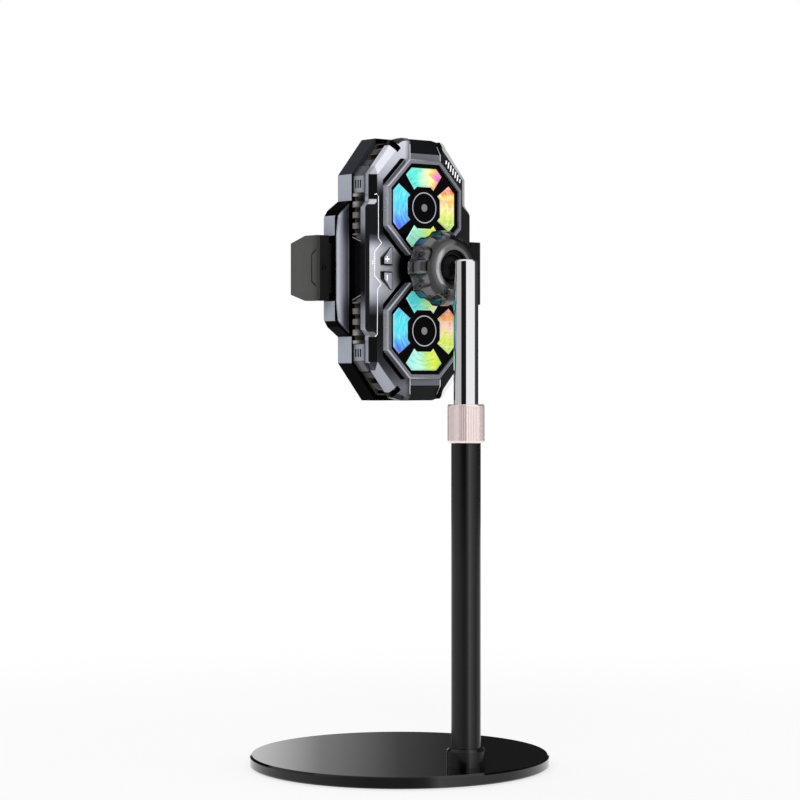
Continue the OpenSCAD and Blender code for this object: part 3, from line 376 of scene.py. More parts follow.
# Bands of painted highlight and shade along the joint's axis.
nut_painted_light = nut.ramp(y, [(-6.9, "#5E5E60"), (-6.3, "#6C6C6F"), (-5.6, "#18181A"), (-4.6, "#101011"),
                         (-4.0, "#66666A"), (-1.8, "#5E5E61"), (1.6, "#242426"), (3.2, "#1A1A1B"),
                         (4.1, "#6E6E71"), (4.6, "#2A2A2C"), (5.0, "#2A2A2C")])
nut_painted_light = nut.mix(crescent, nut_painted_light, "#B8B8BB")
nut_painted_light = nut.mix(flank_shade, nut_painted_light, "#121213")
surface(nut, nut_painted_light, (0.04, 0.09), size=0.5, tone=0.1, bump=0.001, patch=6,
        Metallic=0.5, Transmission_Weight=0.15, IOR=1.5, Coat_Weight=0.7, Coat_Roughness=0.02)
wear("black nylon", "ball_stud", "ball_socket", "ball_seat_rear", "ball_seat_front")
wear("smoked nut", "lock_nut")

# %% [markdown]
# ## The rear housing
# It is one black moulding with silver paint on its upright sides. The paint follows the moulding's edges, so
# masks in the object's own millimetres find the sides. Separate solids for each colour would work as well,
# but the real seam between them is only paint.

# %% Rear housing
rear = start("rear shell")
x, y, z = rear.place(COOLER)
out, up = rear.size(x), rear.size(z)
# Beside the jaws the wing sides stay black: painted shade of the recess where the arms enter.
wing_side = rear.both(rear.rise(out, 33.7, 0.1), rear.rise(y, -1.6, 0.2), rear.rise(up, 12.9, 0.1))
core_side = rear.both(rear.rise(out, 26.75, 0.1), rear.span(up, 26.8, 37.2, 0.12))
# Painted light: the top slope is lighter slate, and the lower slopes stay black.
lit_top_slope = rear.both(rear.rise(z, 37.3, 0.15), rear.rise(out, 14.8, 0.3))
shell_paint = rear.mix(lit_top_slope, "#040405", "#2E3136")
shell_paint = rear.mix(rear.either(wing_side, core_side), shell_paint, "#A5A9B4")
surface(rear, shell_paint, (0.24, 0.36), size=0.2, tone=0.05, bump=0.003, Specular_IOR_Level=0.005)
wear("rear shell", "rear_housing")

# %% [markdown]
# ## The front housing
# The front is metal paint that runs from silver to black: silver beside the buttons, dark beside the fans,
# bright again in the upper corner. These tones are painted reflection and shade. A colour ramp over the
# height holds them. Masks add the facets that are painted in one tone, painted highlights, and painted shade
# on the right half, round the ball joint, beside the fans, in slots and in the channel round each fan.

# %% Front housing
front = start("front shell")
x, y, z = front.place(COOLER)
out, up = front.size(x), front.size(z)
# Painted reflection and shade over the height: silver in the middle, dark beside the fans, lighter above and
# below them.
painted_light_by_height = front.ramp(z, [
    (-52, "#5C5E66"), (-47, "#74767F"), (-43, "#55565E"), (-38, "#36373D"), (-28, "#1D1E21"),
    (-18.7, "#141416"), (-15.3, "#5C5D65"), (-12, "#BCBECA"), (-9, "#E4E6F0"), (0, "#F6F8FF"),
    (7.5, "#E4E6F0"), (9, "#BCBECA"), (11.2, "#5C5D65"), (13.4, "#141416"), (27.9, "#121214"),
    (29.8, "#303034"), (33.1, "#70727B"), (36.1, "#B0B2BE"), (43, "#CDCFDA"), (52, "#DCDEE8")])
# Painted shade on the right half and round the ball joint.
shade_on_right = front.rise(x, -6.5, 2.0)
shade_near_ball = front.both(front.fall(front.distance(x, z), 14.0, 3.5), front.rise(x, -20, 2))
paint = front.mix(shade_on_right, painted_light_by_height, "#1D1E21")
paint = front.mix(shade_near_ball, paint, "#050506")
from_fan = front.distance(x, front.sum("SUBTRACT", up, FAN_OFFSET))
bevel = front.rise(y, -13.15, 0.1)
facet = front.both(bevel, front.rise(from_fan, 22.3, 0.1), front.span(out, 11.4, 21.7, 0.1),
                   front.rise(up, 36.4, 0.1))
# Painted light on the slanted facets, lighter on the upper ones than the lower.
facet_painted_light = front.ramp(z, [(-52, "#A9ACB8"), (-37, "#A9ACB8"), (37, "#E6E9F4"), (52, "#E6E9F4")])
paint = front.mix(facet, paint, facet_painted_light)
left = front.sum("SUBTRACT", 1.0, shade_on_right)
# A painted highlight on the small step, brighter above than below.
step = front.both(front.rise(out, 21.5, 0.1), front.span(up, 25.0, 27.0, 0.15), bevel)
paint = front.mix(step, paint, front.ramp(z, [(-27, "#6C6E76"), (27, "#C8CAD6")]))
# Painted highlights on the right bevel and on the right's slanted facets.
paint = front.mix(front.both(front.rise(x, 21.7, 0.1), bevel), paint, "#E8EAF2")
paint = front.mix(front.both(facet, front.rise(x, 0, 0.1)), paint, "#FFFFFF")
# Painted light and shade on the side walls: dark at mid height, lighter above and below.
wall = front.both(front.rise(out, 24.2, 0.1), front.rise(y, -11.55, 0.08))
wall_painted_light = front.ramp(up, [(0, "#141416"), (9, "#141416"), (13, "#5A5C64"), (17, "#A4A6B2"),
                            (38, "#B9BBC7")])
paint = front.mix(wall, paint, wall_painted_light)
# Painted shade on the bevels beside the fans, as on the front there.
middle_bevel_shade = front.both(front.rise(out, 25.75, 0.05), front.span(y, -13.2, -11.55, 0.08),
                          front.fall(up, 22.8, 0.2))
paint = front.mix(middle_bevel_shade, paint, "#1E1F22")
ear = front.both(front.rise(out, 21.6, 0.1), front.span(up, 27.0, 36.8, 0.15),
                 front.span(y, -13.15, -10.7, 0.08), left)
paint = front.mix(ear, paint, "#050506")
paint = front.mix(front.both(front.rise(up, 49.3, 0.1), left, bevel), paint, "#2B2E32")
panel = front.both(front.span(x, -5.3, 10.2, 0.05), front.rise(up, 43.45, 0.05))
paint = front.mix(panel, paint, "#70727B")
paint = front.mix(front.both(panel, front.rise(up, 46.0, 0.06)), paint, "#101113")
edge_line = front.either(front.span(x, -5.6, -5.25, 0.05), front.span(x, 10.0, 10.35, 0.05))
paint = front.mix(front.both(edge_line, front.span(up, 43.5, 49.5, 0.1)), paint, "#E8EAF0")
NOTCH_COS, NOTCH_SIN = 0.719, 0.695
down, side = front.sum("SUBTRACT", 49.7, up), front.sum("ADD", x, 13.8)
notch_along = front.sum("ADD", front.sum("MULTIPLY", side, NOTCH_SIN),
                        front.sum("MULTIPLY", down, NOTCH_COS))
notch_across = front.sum("SUBTRACT", front.sum("MULTIPLY", side, NOTCH_COS),
                         front.sum("MULTIPLY", down, NOTCH_SIN))
# The slots across the left corner bevels are painted black as their shade.
notch_shade = front.both(front.span(notch_along, -4.05, 4.05, 0.03), front.span(notch_across, -1.24, 1.24, 0.03))
paint = front.mix(notch_shade, paint, "#030304")
# Painted shade in the channel round each fan, behind the front face.
channel_shade = front.both(front.fall(from_fan, 22.2, 0.05), front.rise(y, -13.2, 0.04))
paint = front.mix(channel_shade, paint, "#020203")
surface(front, paint, (0.26, 0.36), size=0.12, tone=0.04, bump=0.0015, Metallic=0.5, Specular_IOR_Level=0.15)
wear("front shell", "front_housing")

# %% [markdown]
# ## Rims, covers and lit windows
# Each fan looks out of an octagonal rim. Its cover is gloss black with four windows, and behind them shine
# coloured lights. In each window the colour runs along one direction, so four colour ramps and the mask of
# the window's quarter make the rainbow. Noise over the radius and the angle bends it into arcs and streaks.
# Low on the left run faint rings, and pale pink bands cross the right.

# %% Rims and covers
rim = start("rim grey")
x, y, z = rim.place(COOLER)
# Painted light on the rims: lighter on the left, with painted highlights at the far left and along the left
# of the front edge.
rim_painted_light = rim.ramp(x, [(-19, "#C4C5D0"), (-16, "#9C9DAA"), (5, "#76777F"), (19, "#86868F")])
rim_painted_light = rim.mix(rim.rise(x, -18.8, 0.05), "#E6E7F2", rim_painted_light)
rim_painted_light = rim.mix(rim.fall(y, -16.3, 0.06), rim_painted_light, "#74757F")
rim_edge_highlight = rim.both(rim.span(y, -16.38, -16.08, 0.03), rim.fall(x, -2.0, 6.0))
rim_painted_light = rim.mix(rim_edge_highlight, rim_painted_light, "#C4C5D0")
surface(rim, rim_painted_light, (0.2, 0.32), size=0.12, tone=0.04, bump=0.0015, Metallic=0.6, Coat_Weight=0.3,
        Coat_Roughness=0.1)
surface(start("cover black"), "#030304", (0.06, 0.12), size=0.2, tone=0.08, bump=0.0008, patch=12,
        Specular_IOR_Level=0.03)
ring = start("silver ring")
x, y, z = ring.place(COOLER)
from_middle = ring.distance(x, ring.sum("SUBTRACT", ring.size(z), FAN_OFFSET))
surface(ring, ring.mix(ring.rise(from_middle, 3.0, 0.2), "#85868B", "#BEBFC4"), (0.12, 0.2), tone=0.04,
        bump=0.001, lines=(0.05, 0.4), Metallic=1.0)
wear("rim grey", "upper_rim", "lower_rim")
wear("cover black", "upper_fan_cover", "lower_fan_cover")
wear("silver ring", "upper_hub_ring", "lower_hub_ring")

# %% Windows
RAINBOW = {
    "upper windows": {
        "left": [(-9.5, "#3D5FE6"), (-6, "#4A8DF0"), (-2, "#4FC0EE"), (4, "#4FD2E6"), (9.5, "#55DCE0")],
        "right": [(-9.5, "#8FD434"), (-5, "#BEDC4C"), (-1, "#EFE98A"), (2, "#F3B46A"), (5, "#F0DA78"),
                  (7, "#E8851E"), (9.5, "#E8503A")],
        "top": [(-9.5, "#4FDCD6"), (-4, "#58DFC9"), (-0.5, "#BFF0C2"), (2, "#E9F2A8"), (5, "#E8B45E"),
                (7, "#E070C0"), (9.5, "#D84FB4")],
        "bottom": [(-9.5, "#9AE8D8"), (-3, "#A6ECC4"), (1, "#B4E87A"), (4, "#DDE23A"), (9.5, "#E2DC40")]},
    "lower windows": {
        "left": [(-9.5, "#3F62E2"), (-6, "#4596F0"), (-2, "#4ED6EA"), (4, "#52E0E8"), (9.5, "#4FC4F0")],
        "right": [(-9.5, "#A8DC2C"), (-4, "#CBE23C"), (-1, "#F0DC8C"), (2, "#F2C8C0"), (5, "#F2B050"),
                  (9.5, "#EE7448")],
        "top": [(-9.5, "#4ADCE6"), (-3, "#62E4DC"), (1, "#AEEBA8"), (4, "#DDEFA8"), (9.5, "#F0EED8")],
        "bottom": [(-9.5, "#8FE6DC"), (-3, "#B0EAD6"), (1, "#B2E070"), (4, "#D2E032"), (9.5, "#9CD838")]}}


def light_window(name, side):
    """The rainbow of one fan's four windows, from the fan's own middle."""
    bench = start(name)
    x, y, z = bench.place((0, 0, COOLER_Z + side * FAN_OFFSET))
    radius = bench.distance(x, z)
    round_here = bench.add("ShaderNodeCombineXYZ", {
        0: bench.sum("DIVIDE", x, radius), 1: bench.sum("MULTIPLY", radius, 0.42),
        2: bench.sum("DIVIDE", z, radius)}).outputs[0]
    sway = bench.sum("MULTIPLY", bench.sum("SUBTRACT", bench.noise(round_here, 1.6, 3), 0.5), 9.0)
    across, along = bench.sum("ADD", x, sway), bench.sum("ADD", z, sway)
    right, high = bench.rise(x, 0, 0.1), bench.rise(z, 0, 0.1)
    upright = bench.rise(bench.sum("SUBTRACT", bench.size(z), bench.size(x)), 0, 0.1)
    sideways = bench.sum("SUBTRACT", 1.0, upright)
    sides = RAINBOW[name]
    beside = bench.mix(right, bench.ramp(along, sides["left"]), bench.ramp(along, sides["right"]))
    above = bench.mix(high, bench.ramp(across, sides["bottom"]), bench.ramp(across, sides["top"]))
    glow = bench.mix(upright, beside, above)

    streaks = bench.noise(round_here, 3.1)
    pale_streaks = bench.rise(streaks, 0.6, 0.09)
    dark_streaks = bench.rise(bench.sum("SUBTRACT", 1.0, streaks), 0.62, 0.08)
    low_left = bench.both(sideways, bench.fall(x, 0, 0.1), bench.fall(z, -2.5, 3.0))
    waves = bench.sum("SINE", bench.sum("ADD", bench.sum("MULTIPLY", radius, 2.6), sway))
    rings = bench.both(low_left, bench.rise(waves, 0.35, 0.4))
    flat = bench.add("ShaderNodeCombineXYZ", {0: bench.sum("MULTIPLY", x, 0.12),
                                              2: bench.sum("MULTIPLY", z, 1.5)}).outputs[0]
    bands = bench.both(sideways, right, bench.rise(bench.noise(flat, 1.0), 0.57, 0.04))
    behind_face = bench.rise(y, -15.72, 0.03)
    tints = ((pale_streaks, 0.22, "#F4FAF4"), (dark_streaks, 0.25, "#2F4E6E"), (rings, 0.45, "#5A4BE0"),
             (bands, 0.4, "#FBDDE8"), (behind_face, 0.22, "#EAF8F6"))
    for mask, share, web in tints:
        glow = bench.mix(bench.sum("MULTIPLY", mask, share), glow, web)
    surface(bench, glow, (0.08, 0.14), size=0.4, tone=0.06, bump=0.002, Specular_IOR_Level=0.2,
            Emission_Strength=0.26)
    bench.tree.links.new(bench.toned, bench.shader.inputs["Emission Color"])


light_window("upper windows", 1)
light_window("lower windows", -1)
wear("upper windows", "upper_windows")
wear("lower windows", "lower_windows")

# %% [markdown]
# ## What lies behind and between
# Fins, light rings, motors, impellers, board and switches are seen only through gaps, yet each has the finish
# of its real material. A ramp over the depth keeps the fins dark at the front, where the housing shades them,
# and a mask darkens them once more near both ends.

# %% Inner finishes
fins = start("bare aluminium")
x, y, z = fins.place(COOLER)
depth_tone = fins.ramp(y, [(-8.6, "#1E1D1C"), (-7.4, "#4A4845"), (-5.6, "#A6A39E"), (-4.2, "#BEBBB6"),
                           (-3.0, "#8A8782"), (7.7, "#B4B4B6")])
shaded = fins.both(fins.rise(fins.size(z), 37.0, 1.0), fins.fall(y, -3.0, 0.1))
surface(fins, fins.mix(fins.sum("MULTIPLY", shaded, 0.7), depth_tone, "#2A2928"), (0.3, 0.45), tone=0.08,
        bump=0.002, lines=(0.2, 0.2), Metallic=0.5)
surface(start("contact grey"), "#5A5E66", (0.5, 0.65), size=0.5, tone=0.12, bump=0.02)
surface(start("ceramic"), "#E4E3DC", (0.35, 0.5), size=0.2)
surface(start("light ring white"), "#E8ECEC", (0.2, 0.35))
surface(start("copper and iron"), "#A8683A", (0.3, 0.45), tone=0.2, lines=(0.15, 0.3), Metallic=0.9)
surface(start("clear blades"), "#CFE6EA", (0.1, 0.2), Transmission_Weight=0.6, IOR=1.49)
surface(start("board green"), "#0C4A26", (0.35, 0.5), size=0.6, tone=0.2, bump=0.01)
surface(start("switch metal"), "#B4B5B8", (0.25, 0.35), Metallic=0.9)
wear("bare aluminium", "heat_sink", "cold_plate")
wear("contact grey", "contact_pad")
wear("ceramic", "cooling_module")
wear("light ring white", "upper_light_ring", "lower_light_ring")
wear("copper and iron", "upper_motor", "lower_motor")
wear("clear blades", "upper_impeller", "lower_impeller")
wear("board green", "circuit_board")
wear("switch metal", "button_switches")

# %% [markdown]
# ## Buttons, panels and trims
# The buttons have bright satin tops and black walls. The panels in the gap are gloss black. The vent plates
# have painted shade on their slanted ends and in their slots. The crescent trims on the wings are silver on
# their outer edge and fall off into painted shade, which a ramp over the width gives.

# %% Buttons, panels and trims
key = start("button metal")
x, y, z = key.place(COOLER)
CORNER_COS, CORNER_SIN = 0.755, 0.656
from_corner = key.sum("SUBTRACT", key.sum("MULTIPLY", key.sum("ADD", x, 20.3), CORNER_COS),
                      key.sum("MULTIPLY", key.sum("SUBTRACT", key.size(z), 4.2), CORNER_SIN))
top = key.both(key.fall(y, -14.1, 0.06), key.span(x, -19.2, -15.2, 0.05), key.rise(from_corner, 0.8, 0.05),
               key.rise(key.size(z), 1.75, 0.05))
key_paint = key.mix(top, "#040405", key.ramp(x, [(-19.2, "#DCDEEA"), (-16.6, "#D4D6E2"), (-14.9, "#A4A6B4")]))
surface(key, key_paint, (0.2, 0.3), size=0.12, tone=0.01, bump=0.0, Metallic=0.3)
panel = start("panel black")
x, y, z = panel.place(COOLER)
PANEL_SLANT = 0.3636
end = panel.sum("ADD", panel.sum("MULTIPLY", y, PANEL_SLANT), 13.73)
past_end = panel.sum("SUBTRACT", panel.size(z), end)
end_strip = panel.both(panel.rise(past_end, -0.32, 0.05), panel.rise(panel.size(x), 26.3, 0.05))
surface(panel, panel.mix(end_strip, "#050506", "#9A9AA0"), (0.08, 0.14), size=0.2, tone=0.1, bump=0.001,
        Specular_IOR_Level=0.15)
vent = start("vent grey")
x, y, z = vent.place(COOLER)
out, up = vent.size(x), vent.size(z)
# Painted shade: the slanted ends are darker, and the slots are painted black.
vent_paint_and_shade = vent.mix(vent.rise(up, 36.3, 0.2), "#9DA0AA", "#5A5B63")
slot_shade = vent.both(vent.span(up, 31.5, 34.9, 0.03), vent.span(y, -7.9, -3.9, 0.03),
                   vent.fall(out, 25.66, 0.01))
surface(vent, vent.mix(slot_shade, vent_paint_and_shade, "#050506"), (0.25, 0.36), size=0.15, tone=0.05,
        bump=0.002, Metallic=0.4)
trim = start("trim silver")
x, y, z = trim.place(COOLER)
out, up = trim.size(x), trim.size(z)
# The trim's silver outer edge is its colour; its fall into the dark is painted shade, deeper towards the
# ends.
middle = trim.ramp(out, [(27.6, "#9A9CA8"), (28.2, "#8A8C98"), (28.7, "#4C4D58"), (29.6, "#5C5E6A"),
                         (31, "#8C8E9A"), (32.4, "#B4B6C4"), (33.8, "#C8CAD8")])
ends = trim.ramp(out, [(27.6, "#1B1C24"), (29.2, "#24252E"), (30.6, "#42434E"), (31.8, "#8C8E9A"),
                       (32.8, "#B4B6C4"), (33.8, "#C8CAD8")])
surface(trim, trim.mix(trim.rise(up, 12.0, 5.5), middle, ends), (0.4, 0.42), size=0.12, tone=0.005, bump=0.0,
        Metallic=0.15)
wear("button metal", "plus_button", "minus_button")
wear("panel black", "left_side_panel", "right_side_panel")
wear("vent grey", "vent_plates")
wear("trim silver", "left_wing_trim", "right_wing_trim")

# %% [markdown]
# ## The clamp
# The jaws are dark grey moulded plastic with a matt grain, their pads are rubber, and the arms that slide
# into the housing are black. A mask darkens the bracket that is engraved in each jaw's outer face.

# %% Clamp
jaw = start("jaw grey")
x, y, z = jaw.place(COOLER)
jaw_paint = jaw.ramp(y, [(-1.3, "#282827"), (0.6, "#363635"), (2.4, "#424240"), (12, "#474746"),
                         (17.7, "#414140")])
BRACKET_SLANT, BRACKET_COS = 0.6667, 0.832
slant = jaw.sum("ADD", jaw.sum("MULTIPLY", y, BRACKET_SLANT), jaw.sum("SUBTRACT", jaw.size(z), 7.2))
bracket = jaw.sum("MAXIMUM", jaw.sum("SUBTRACT", y, 2.7), jaw.sum("MULTIPLY", slant, BRACKET_COS))
engraved = jaw.both(jaw.rise(jaw.size(x), 41.6, 0.03), jaw.span(bracket, -0.55, 0.1, 0.05),
                    jaw.rise(y, -0.4, 0.05))
jaw_paint = jaw.mix(engraved, jaw_paint, "#060606")
surface(jaw, jaw_paint, (0.42, 0.55), size=0.22, tone=0.1, bump=0.012)
surface(start("arm black"), "#060606", (0.3, 0.42), size=0.25, tone=0.12, bump=0.006,
        Specular_IOR_Level=0.15)
surface(start("jaw rubber"), "#1B1B1C", (0.65, 0.8), size=0.35, tone=0.15, bump=0.04)
wear("jaw grey", "left_jaw", "right_jaw")
wear("arm black", "left_arm", "right_arm", "left_jaw_screw", "right_jaw_screw")
wear("jaw rubber", "left_jaw_pad", "right_jaw_pad")

# %% [markdown]
# ## Surfaces from numbers
# A few pieces need finer shapes than the frame holds. Each is a surface over two parameters: numpy works out
# all points of the grid at once, and one helper turns the grid into a mesh. Where the surface closes, a
# second one checks by the enclosed volume that its faces point outwards.

# %% Grid to mesh


def make_piece(name, points, faces, finish, body, slot, replaces=(), sharp=35):
    """A mesh from an array of points in millimetres and an array of faces, riding on a body."""
    mesh = bpy.data.meshes.new(name)
    mesh.from_pydata((np.asarray(points, float) * MM).tolist(), [], np.asarray(faces).tolist())
    mesh.polygons.foreach_set("use_smooth", np.ones(len(mesh.polygons), bool))
    mesh.set_sharp_from_angle(angle=math.radians(sharp))
    mesh.materials.append(finishes[finish])
    mesh.update()
    piece = add_object(name, mesh)
    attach(piece, body)
    if replaces:
        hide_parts(*replaces)
    print(name, "has", len(mesh.polygons), "faces")


def grid_faces(rows, columns, wrap_rows, wrap_columns):
    """Quads between neighbours on a grid; a wrapped direction joins its last line to its first."""
    r = np.arange(rows if wrap_rows else rows - 1)[:, None]
    c = np.arange(columns if wrap_columns else columns - 1)[None, :]
    r1, c1 = (r + 1) % rows, (c + 1) % columns
    corners = [r * columns + c, r * columns + c1, r1 * columns + c1, r1 * columns + c]
    return np.stack(np.broadcast_arrays(*corners), -1).reshape(-1, 4)


def outwards(points, faces):
    """Turns the faces round if the closed surface encloses a negative volume."""
    a, b, c, d = (points[faces[:, i]] for i in range(4))
    volume = np.einsum("ij,ij->i", a, np.cross(b, c)) + np.einsum("ij,ij->i", a, np.cross(c, d))
    return faces if volume.sum() > 0 else faces[:, ::-1]


# %% [markdown]
# ## The knurled collar
# The rose gold collar has fine upright grooves for grip. The CAD collar has coarse ones, so a finer turned
# piece takes its place: its profile goes round the axis, and the radius dips between the ridges.

# %% Collar
COLLAR_RADIUS, COLLAR_BORE, COLLAR_LOW, COLLAR_TALL = 7.2, 5.85, 130.3, 15.0
RIDGES, RIDGE_STEPS, GROOVE_DEPTH, GROOVE_POWER = 64, 12, 0.1, 24


def collar_surface():
    """Radius = profile − groove depth × |cos(ridges × angle / 2)| to a power, on the knurled band only."""
    angle = np.linspace(0, 2 * np.pi, RIDGES * RIDGE_STEPS, endpoint=False)
    tip = COLLAR_LOW + COLLAR_TALL
    profile = np.array([
        [COLLAR_BORE, COLLAR_LOW, 0], [6.75, COLLAR_LOW, 0], [7.0, COLLAR_LOW + 0.25, 0],
        [7.05, COLLAR_LOW + 0.5, 0], [COLLAR_RADIUS, COLLAR_LOW + 0.75, 1],
        [COLLAR_RADIUS, COLLAR_LOW + 0.95, 1], [COLLAR_RADIUS, tip - 0.95, 1],
        [COLLAR_RADIUS, tip - 0.75, 1], [7.05, tip - 0.5, 0], [7.0, tip - 0.25, 0], [6.75, tip, 0],
        [5.2, tip, 0], [5.2, tip - 0.9, 0], [COLLAR_BORE, tip - 0.9, 0]])
    groove = GROOVE_DEPTH * np.abs(np.cos(RIDGES * angle / 2)) ** GROOVE_POWER
    radius = profile[:, :1] - profile[:, 2:] * groove[None, :]
    height = np.broadcast_to(profile[:, 1:2], radius.shape)
    points = np.stack([radius * np.cos(angle), POLE_Y + radius * np.sin(angle), height], -1).reshape(-1, 3)
    return points, outwards(points, grid_faces(len(profile), len(angle), True, True))


make_piece("collar_knurl", *collar_surface(), "rose gold", "collar", "rose_gold", ["lock_collar"], sharp=50)

# %% [markdown]
# ## The lobed lock nut
# The nut is a soft, cast shape: eight lobes that swell towards the housing and melt into a collar with a
# rolled lip. Straight extruded lobes would look cut out of a plate, so the radius is a smooth function of the
# angle and of the way along the profile.

# %% Lock nut
LOBE_STEPS = 40


def nut_surface():
    """A closed profile round the joint's axis. Radius = core + lobe height × (crest of a wave round the
    circle), where core and lobe height change along the profile."""
    angle = np.linspace(0, 2 * np.pi, LOBES * LOBE_STEPS, endpoint=False)
    profile = np.array([
        [10.30, 4.95, 0.0], [11.0, 5.00, 0.0], [12.6, 5.00, 0.45], [13.3, 4.75, 0.95], [13.55, 4.2, 1.2],
        [13.5, 3.5, 1.35], [13.1, 2.9, 1.75], [12.75, 2.2, 2.1], [12.6, 1.2, 2.25], [12.5, -0.2, 2.3],
        [12.4, -1.8, 2.2], [12.25, -3.0, 1.8], [12.05, -4.1, 1.1], [11.8, -4.9, 0.45], [11.45, -5.4, 0.1],
        [10.6, -5.75, 0.0], [9.6, -5.95, 0.0], [9.05, -6.15, 0.0], [8.9, -6.45, 0.0], [8.75, -6.75, 0.0],
        [8.3, -6.9, 0.0], [7.5, -6.9, 0.0], [7.1, -6.7, 0.0], [7.0, -6.3, 0.0], [7.0, -5.52, 0.0],
        [10.30, -5.52, 0.0]])
    core, y, lobe = (profile[:, i:i + 1] for i in range(3))
    wave = 0.5 + 0.5 * np.cos(LOBES * (angle - np.pi / 2))
    crest = np.clip(1.55 * wave - 0.12, 0, 1)
    crest = crest * crest * (3 - 2 * crest)
    radius = core + lobe * crest[None, :]
    depth = np.broadcast_to(BALL[1] + y, radius.shape)
    points = np.stack([radius * np.cos(angle), depth, BALL[2] + radius * np.sin(angle)], -1).reshape(-1, 3)
    return points, outwards(points, grid_faces(len(profile), len(angle), True, True))


make_piece("nut_shell", *nut_surface(), "smoked nut", "nut", "smoke_nut", ["lock_nut"], sharp=40)

# %% [markdown]
# ## Lines and signs on the front
# A thin white line with dots runs down the front beside the buttons, and the buttons carry a plus and a
# minus. They are printed on the real part. Printed marks made as very thin raised ribbons stay sharp at any
# zoom, and they sit on the surface that carries them.

# %% Ribbons
# The white print also glows a little: painted light that keeps it bright.
surface(start("print white"), "#FFFFFF", (0.3, 0.4), tone=0.02, bump=0.0, Emission_Strength=0.6,
        Emission_Color=(0.88, 0.92, 1.0, 1.0))
PRINT_RISE, PRINT_FOOT, SKIN_FALL = 0.03, 0.02, 1.7


def skin_depth(x, z):
    """How far forward the front housing is at a place: flat in the middle, then falling back over a bevel
    that is 0.9 wide at mid height and 2.8 wide above and below."""
    edge = np.interp(np.abs(z), [22.6, 26.4], [25.7, 21.6])
    run = np.interp(np.abs(z), [22.6, 26.4], [0.9, 2.8])
    return FACE_Y + SKIN_FALL * np.clip((np.abs(x) - edge) / run, 0, 1)


def ribbon(path, width):
    """A closed thin strip along a path: each point moves sideways by half the width along the mitre, which
    is the sum of the neighbouring normals divided by one plus their dot product."""
    path = np.array(path, float)
    run = np.diff(path, axis=0)
    run /= np.linalg.norm(run, axis=1)[:, None]
    normal = np.stack([-run[:, 1], run[:, 0]], 1)
    before, after = np.vstack([normal[:1], normal]), np.vstack([normal, normal[-1:]])
    mitre = (before + after) / (1 + np.sum(before * after, axis=1))[:, None]
    one, other = path + mitre * width / 2, path - mitre * width / 2
    depth = skin_depth(path[:, 0], path[:, 1])
    rows = [np.column_stack([s[:, 0], depth + d, s[:, 1]]) for s, d in
            ((one, PRINT_FOOT), (one, -PRINT_RISE), (other, -PRINT_RISE), (other, PRINT_FOOT))]
    points = np.stack(rows, 1).reshape(-1, 3)
    faces = grid_faces(len(path), 4, False, True)
    end = 4 * (len(path) - 1)
    caps = np.array([[0, 1, 2, 3], [end + 3, end + 2, end + 1, end]])
    return points, np.vstack([faces, caps])


def gather(strips, lift=0.0):
    """Several strips as one set of points and faces, in the cooler's place."""
    points, faces, count = [], [], 0
    for p, f in strips:
        faces.append(outwards(p, f) + count)
        points.append(p + [0, lift, COOLER_Z])
        count += len(p)
    return np.vstack(points), np.vstack(faces)


LINE_WIDTH, DOT, DOT_PITCH = 0.21, 0.5, 0.9
LINE_PATHS = [[(-22.8, 28.8), (-22.1, 29.1), (-21.4, 28.2), (-21.4, 11.8), (-19.8, 9.9), (-23.3, 6.4),
               (-23.3, 5.0)],
              [(-23.3, -1.8), (-23.3, -3.0), (-19.9, -6.2), (-21.8, -8.2), (-22.0, -26.0), (-22.6, -26.9)]]
DOTS = [(-23.3, height) for height in np.arange(-1.0, 4.6, DOT_PITCH)] + [(-24.2, 1.7), (-24.2, 2.6)]
strips = [ribbon(path, LINE_WIDTH) for path in LINE_PATHS]
strips += [ribbon([(x, z - DOT / 2), (x, z + DOT / 2)], DOT) for x, z in DOTS]
make_piece("face_line", *gather(strips), "print white", "cooler", "trim_silver", sharp=20)

# %% Plus and minus
BUTTON_TOP, SIGN_WIDTH = -1.0, 0.46
signs = {"plus_button": [[(-18.8, 3.6), (-16.6, 3.6)], [(-17.7, 2.5), (-17.7, 4.7)]],
         "minus_button": [[(-17.8, -4.8), (-17.8, -2.6)]]}
for button, strokes in signs.items():
    body = button.split("_")[0]
    make_piece(body + "_sign", *gather([ribbon(s, SIGN_WIDTH) for s in strokes], BUTTON_TOP), "print white",
               body, "button_metal", sharp=20)

# %% [markdown]
# ## Light bars in the corner
# Seven slanted slots in the upper right corner are bright: a pale bar that glows a little fills each. Each
# bar follows the slot's own place, length and turn.

# %% Light bars
surface(start("glowing bars"), "#F4F6FA", (0.2, 0.3), tone=0.02, bump=0.0, Emission_Strength=0.25,
        Emission_Color=(0.9, 0.93, 1.0, 1.0))
FIRST_SLOT, SLOT_PITCH, SLOT_TURN = (13.4, 43.4), 1.19, math.radians(8)
SLOT_LENGTHS = np.array([1.5, 2.6, 2.6, 2.6, 2.6, 2.6, 1.5])
BAR_HALF_WIDTH, BAR_HALF_DEPTH, BAR_PLAY, BAR_DEPTH = 0.36, 0.35, 0.04, 0.5


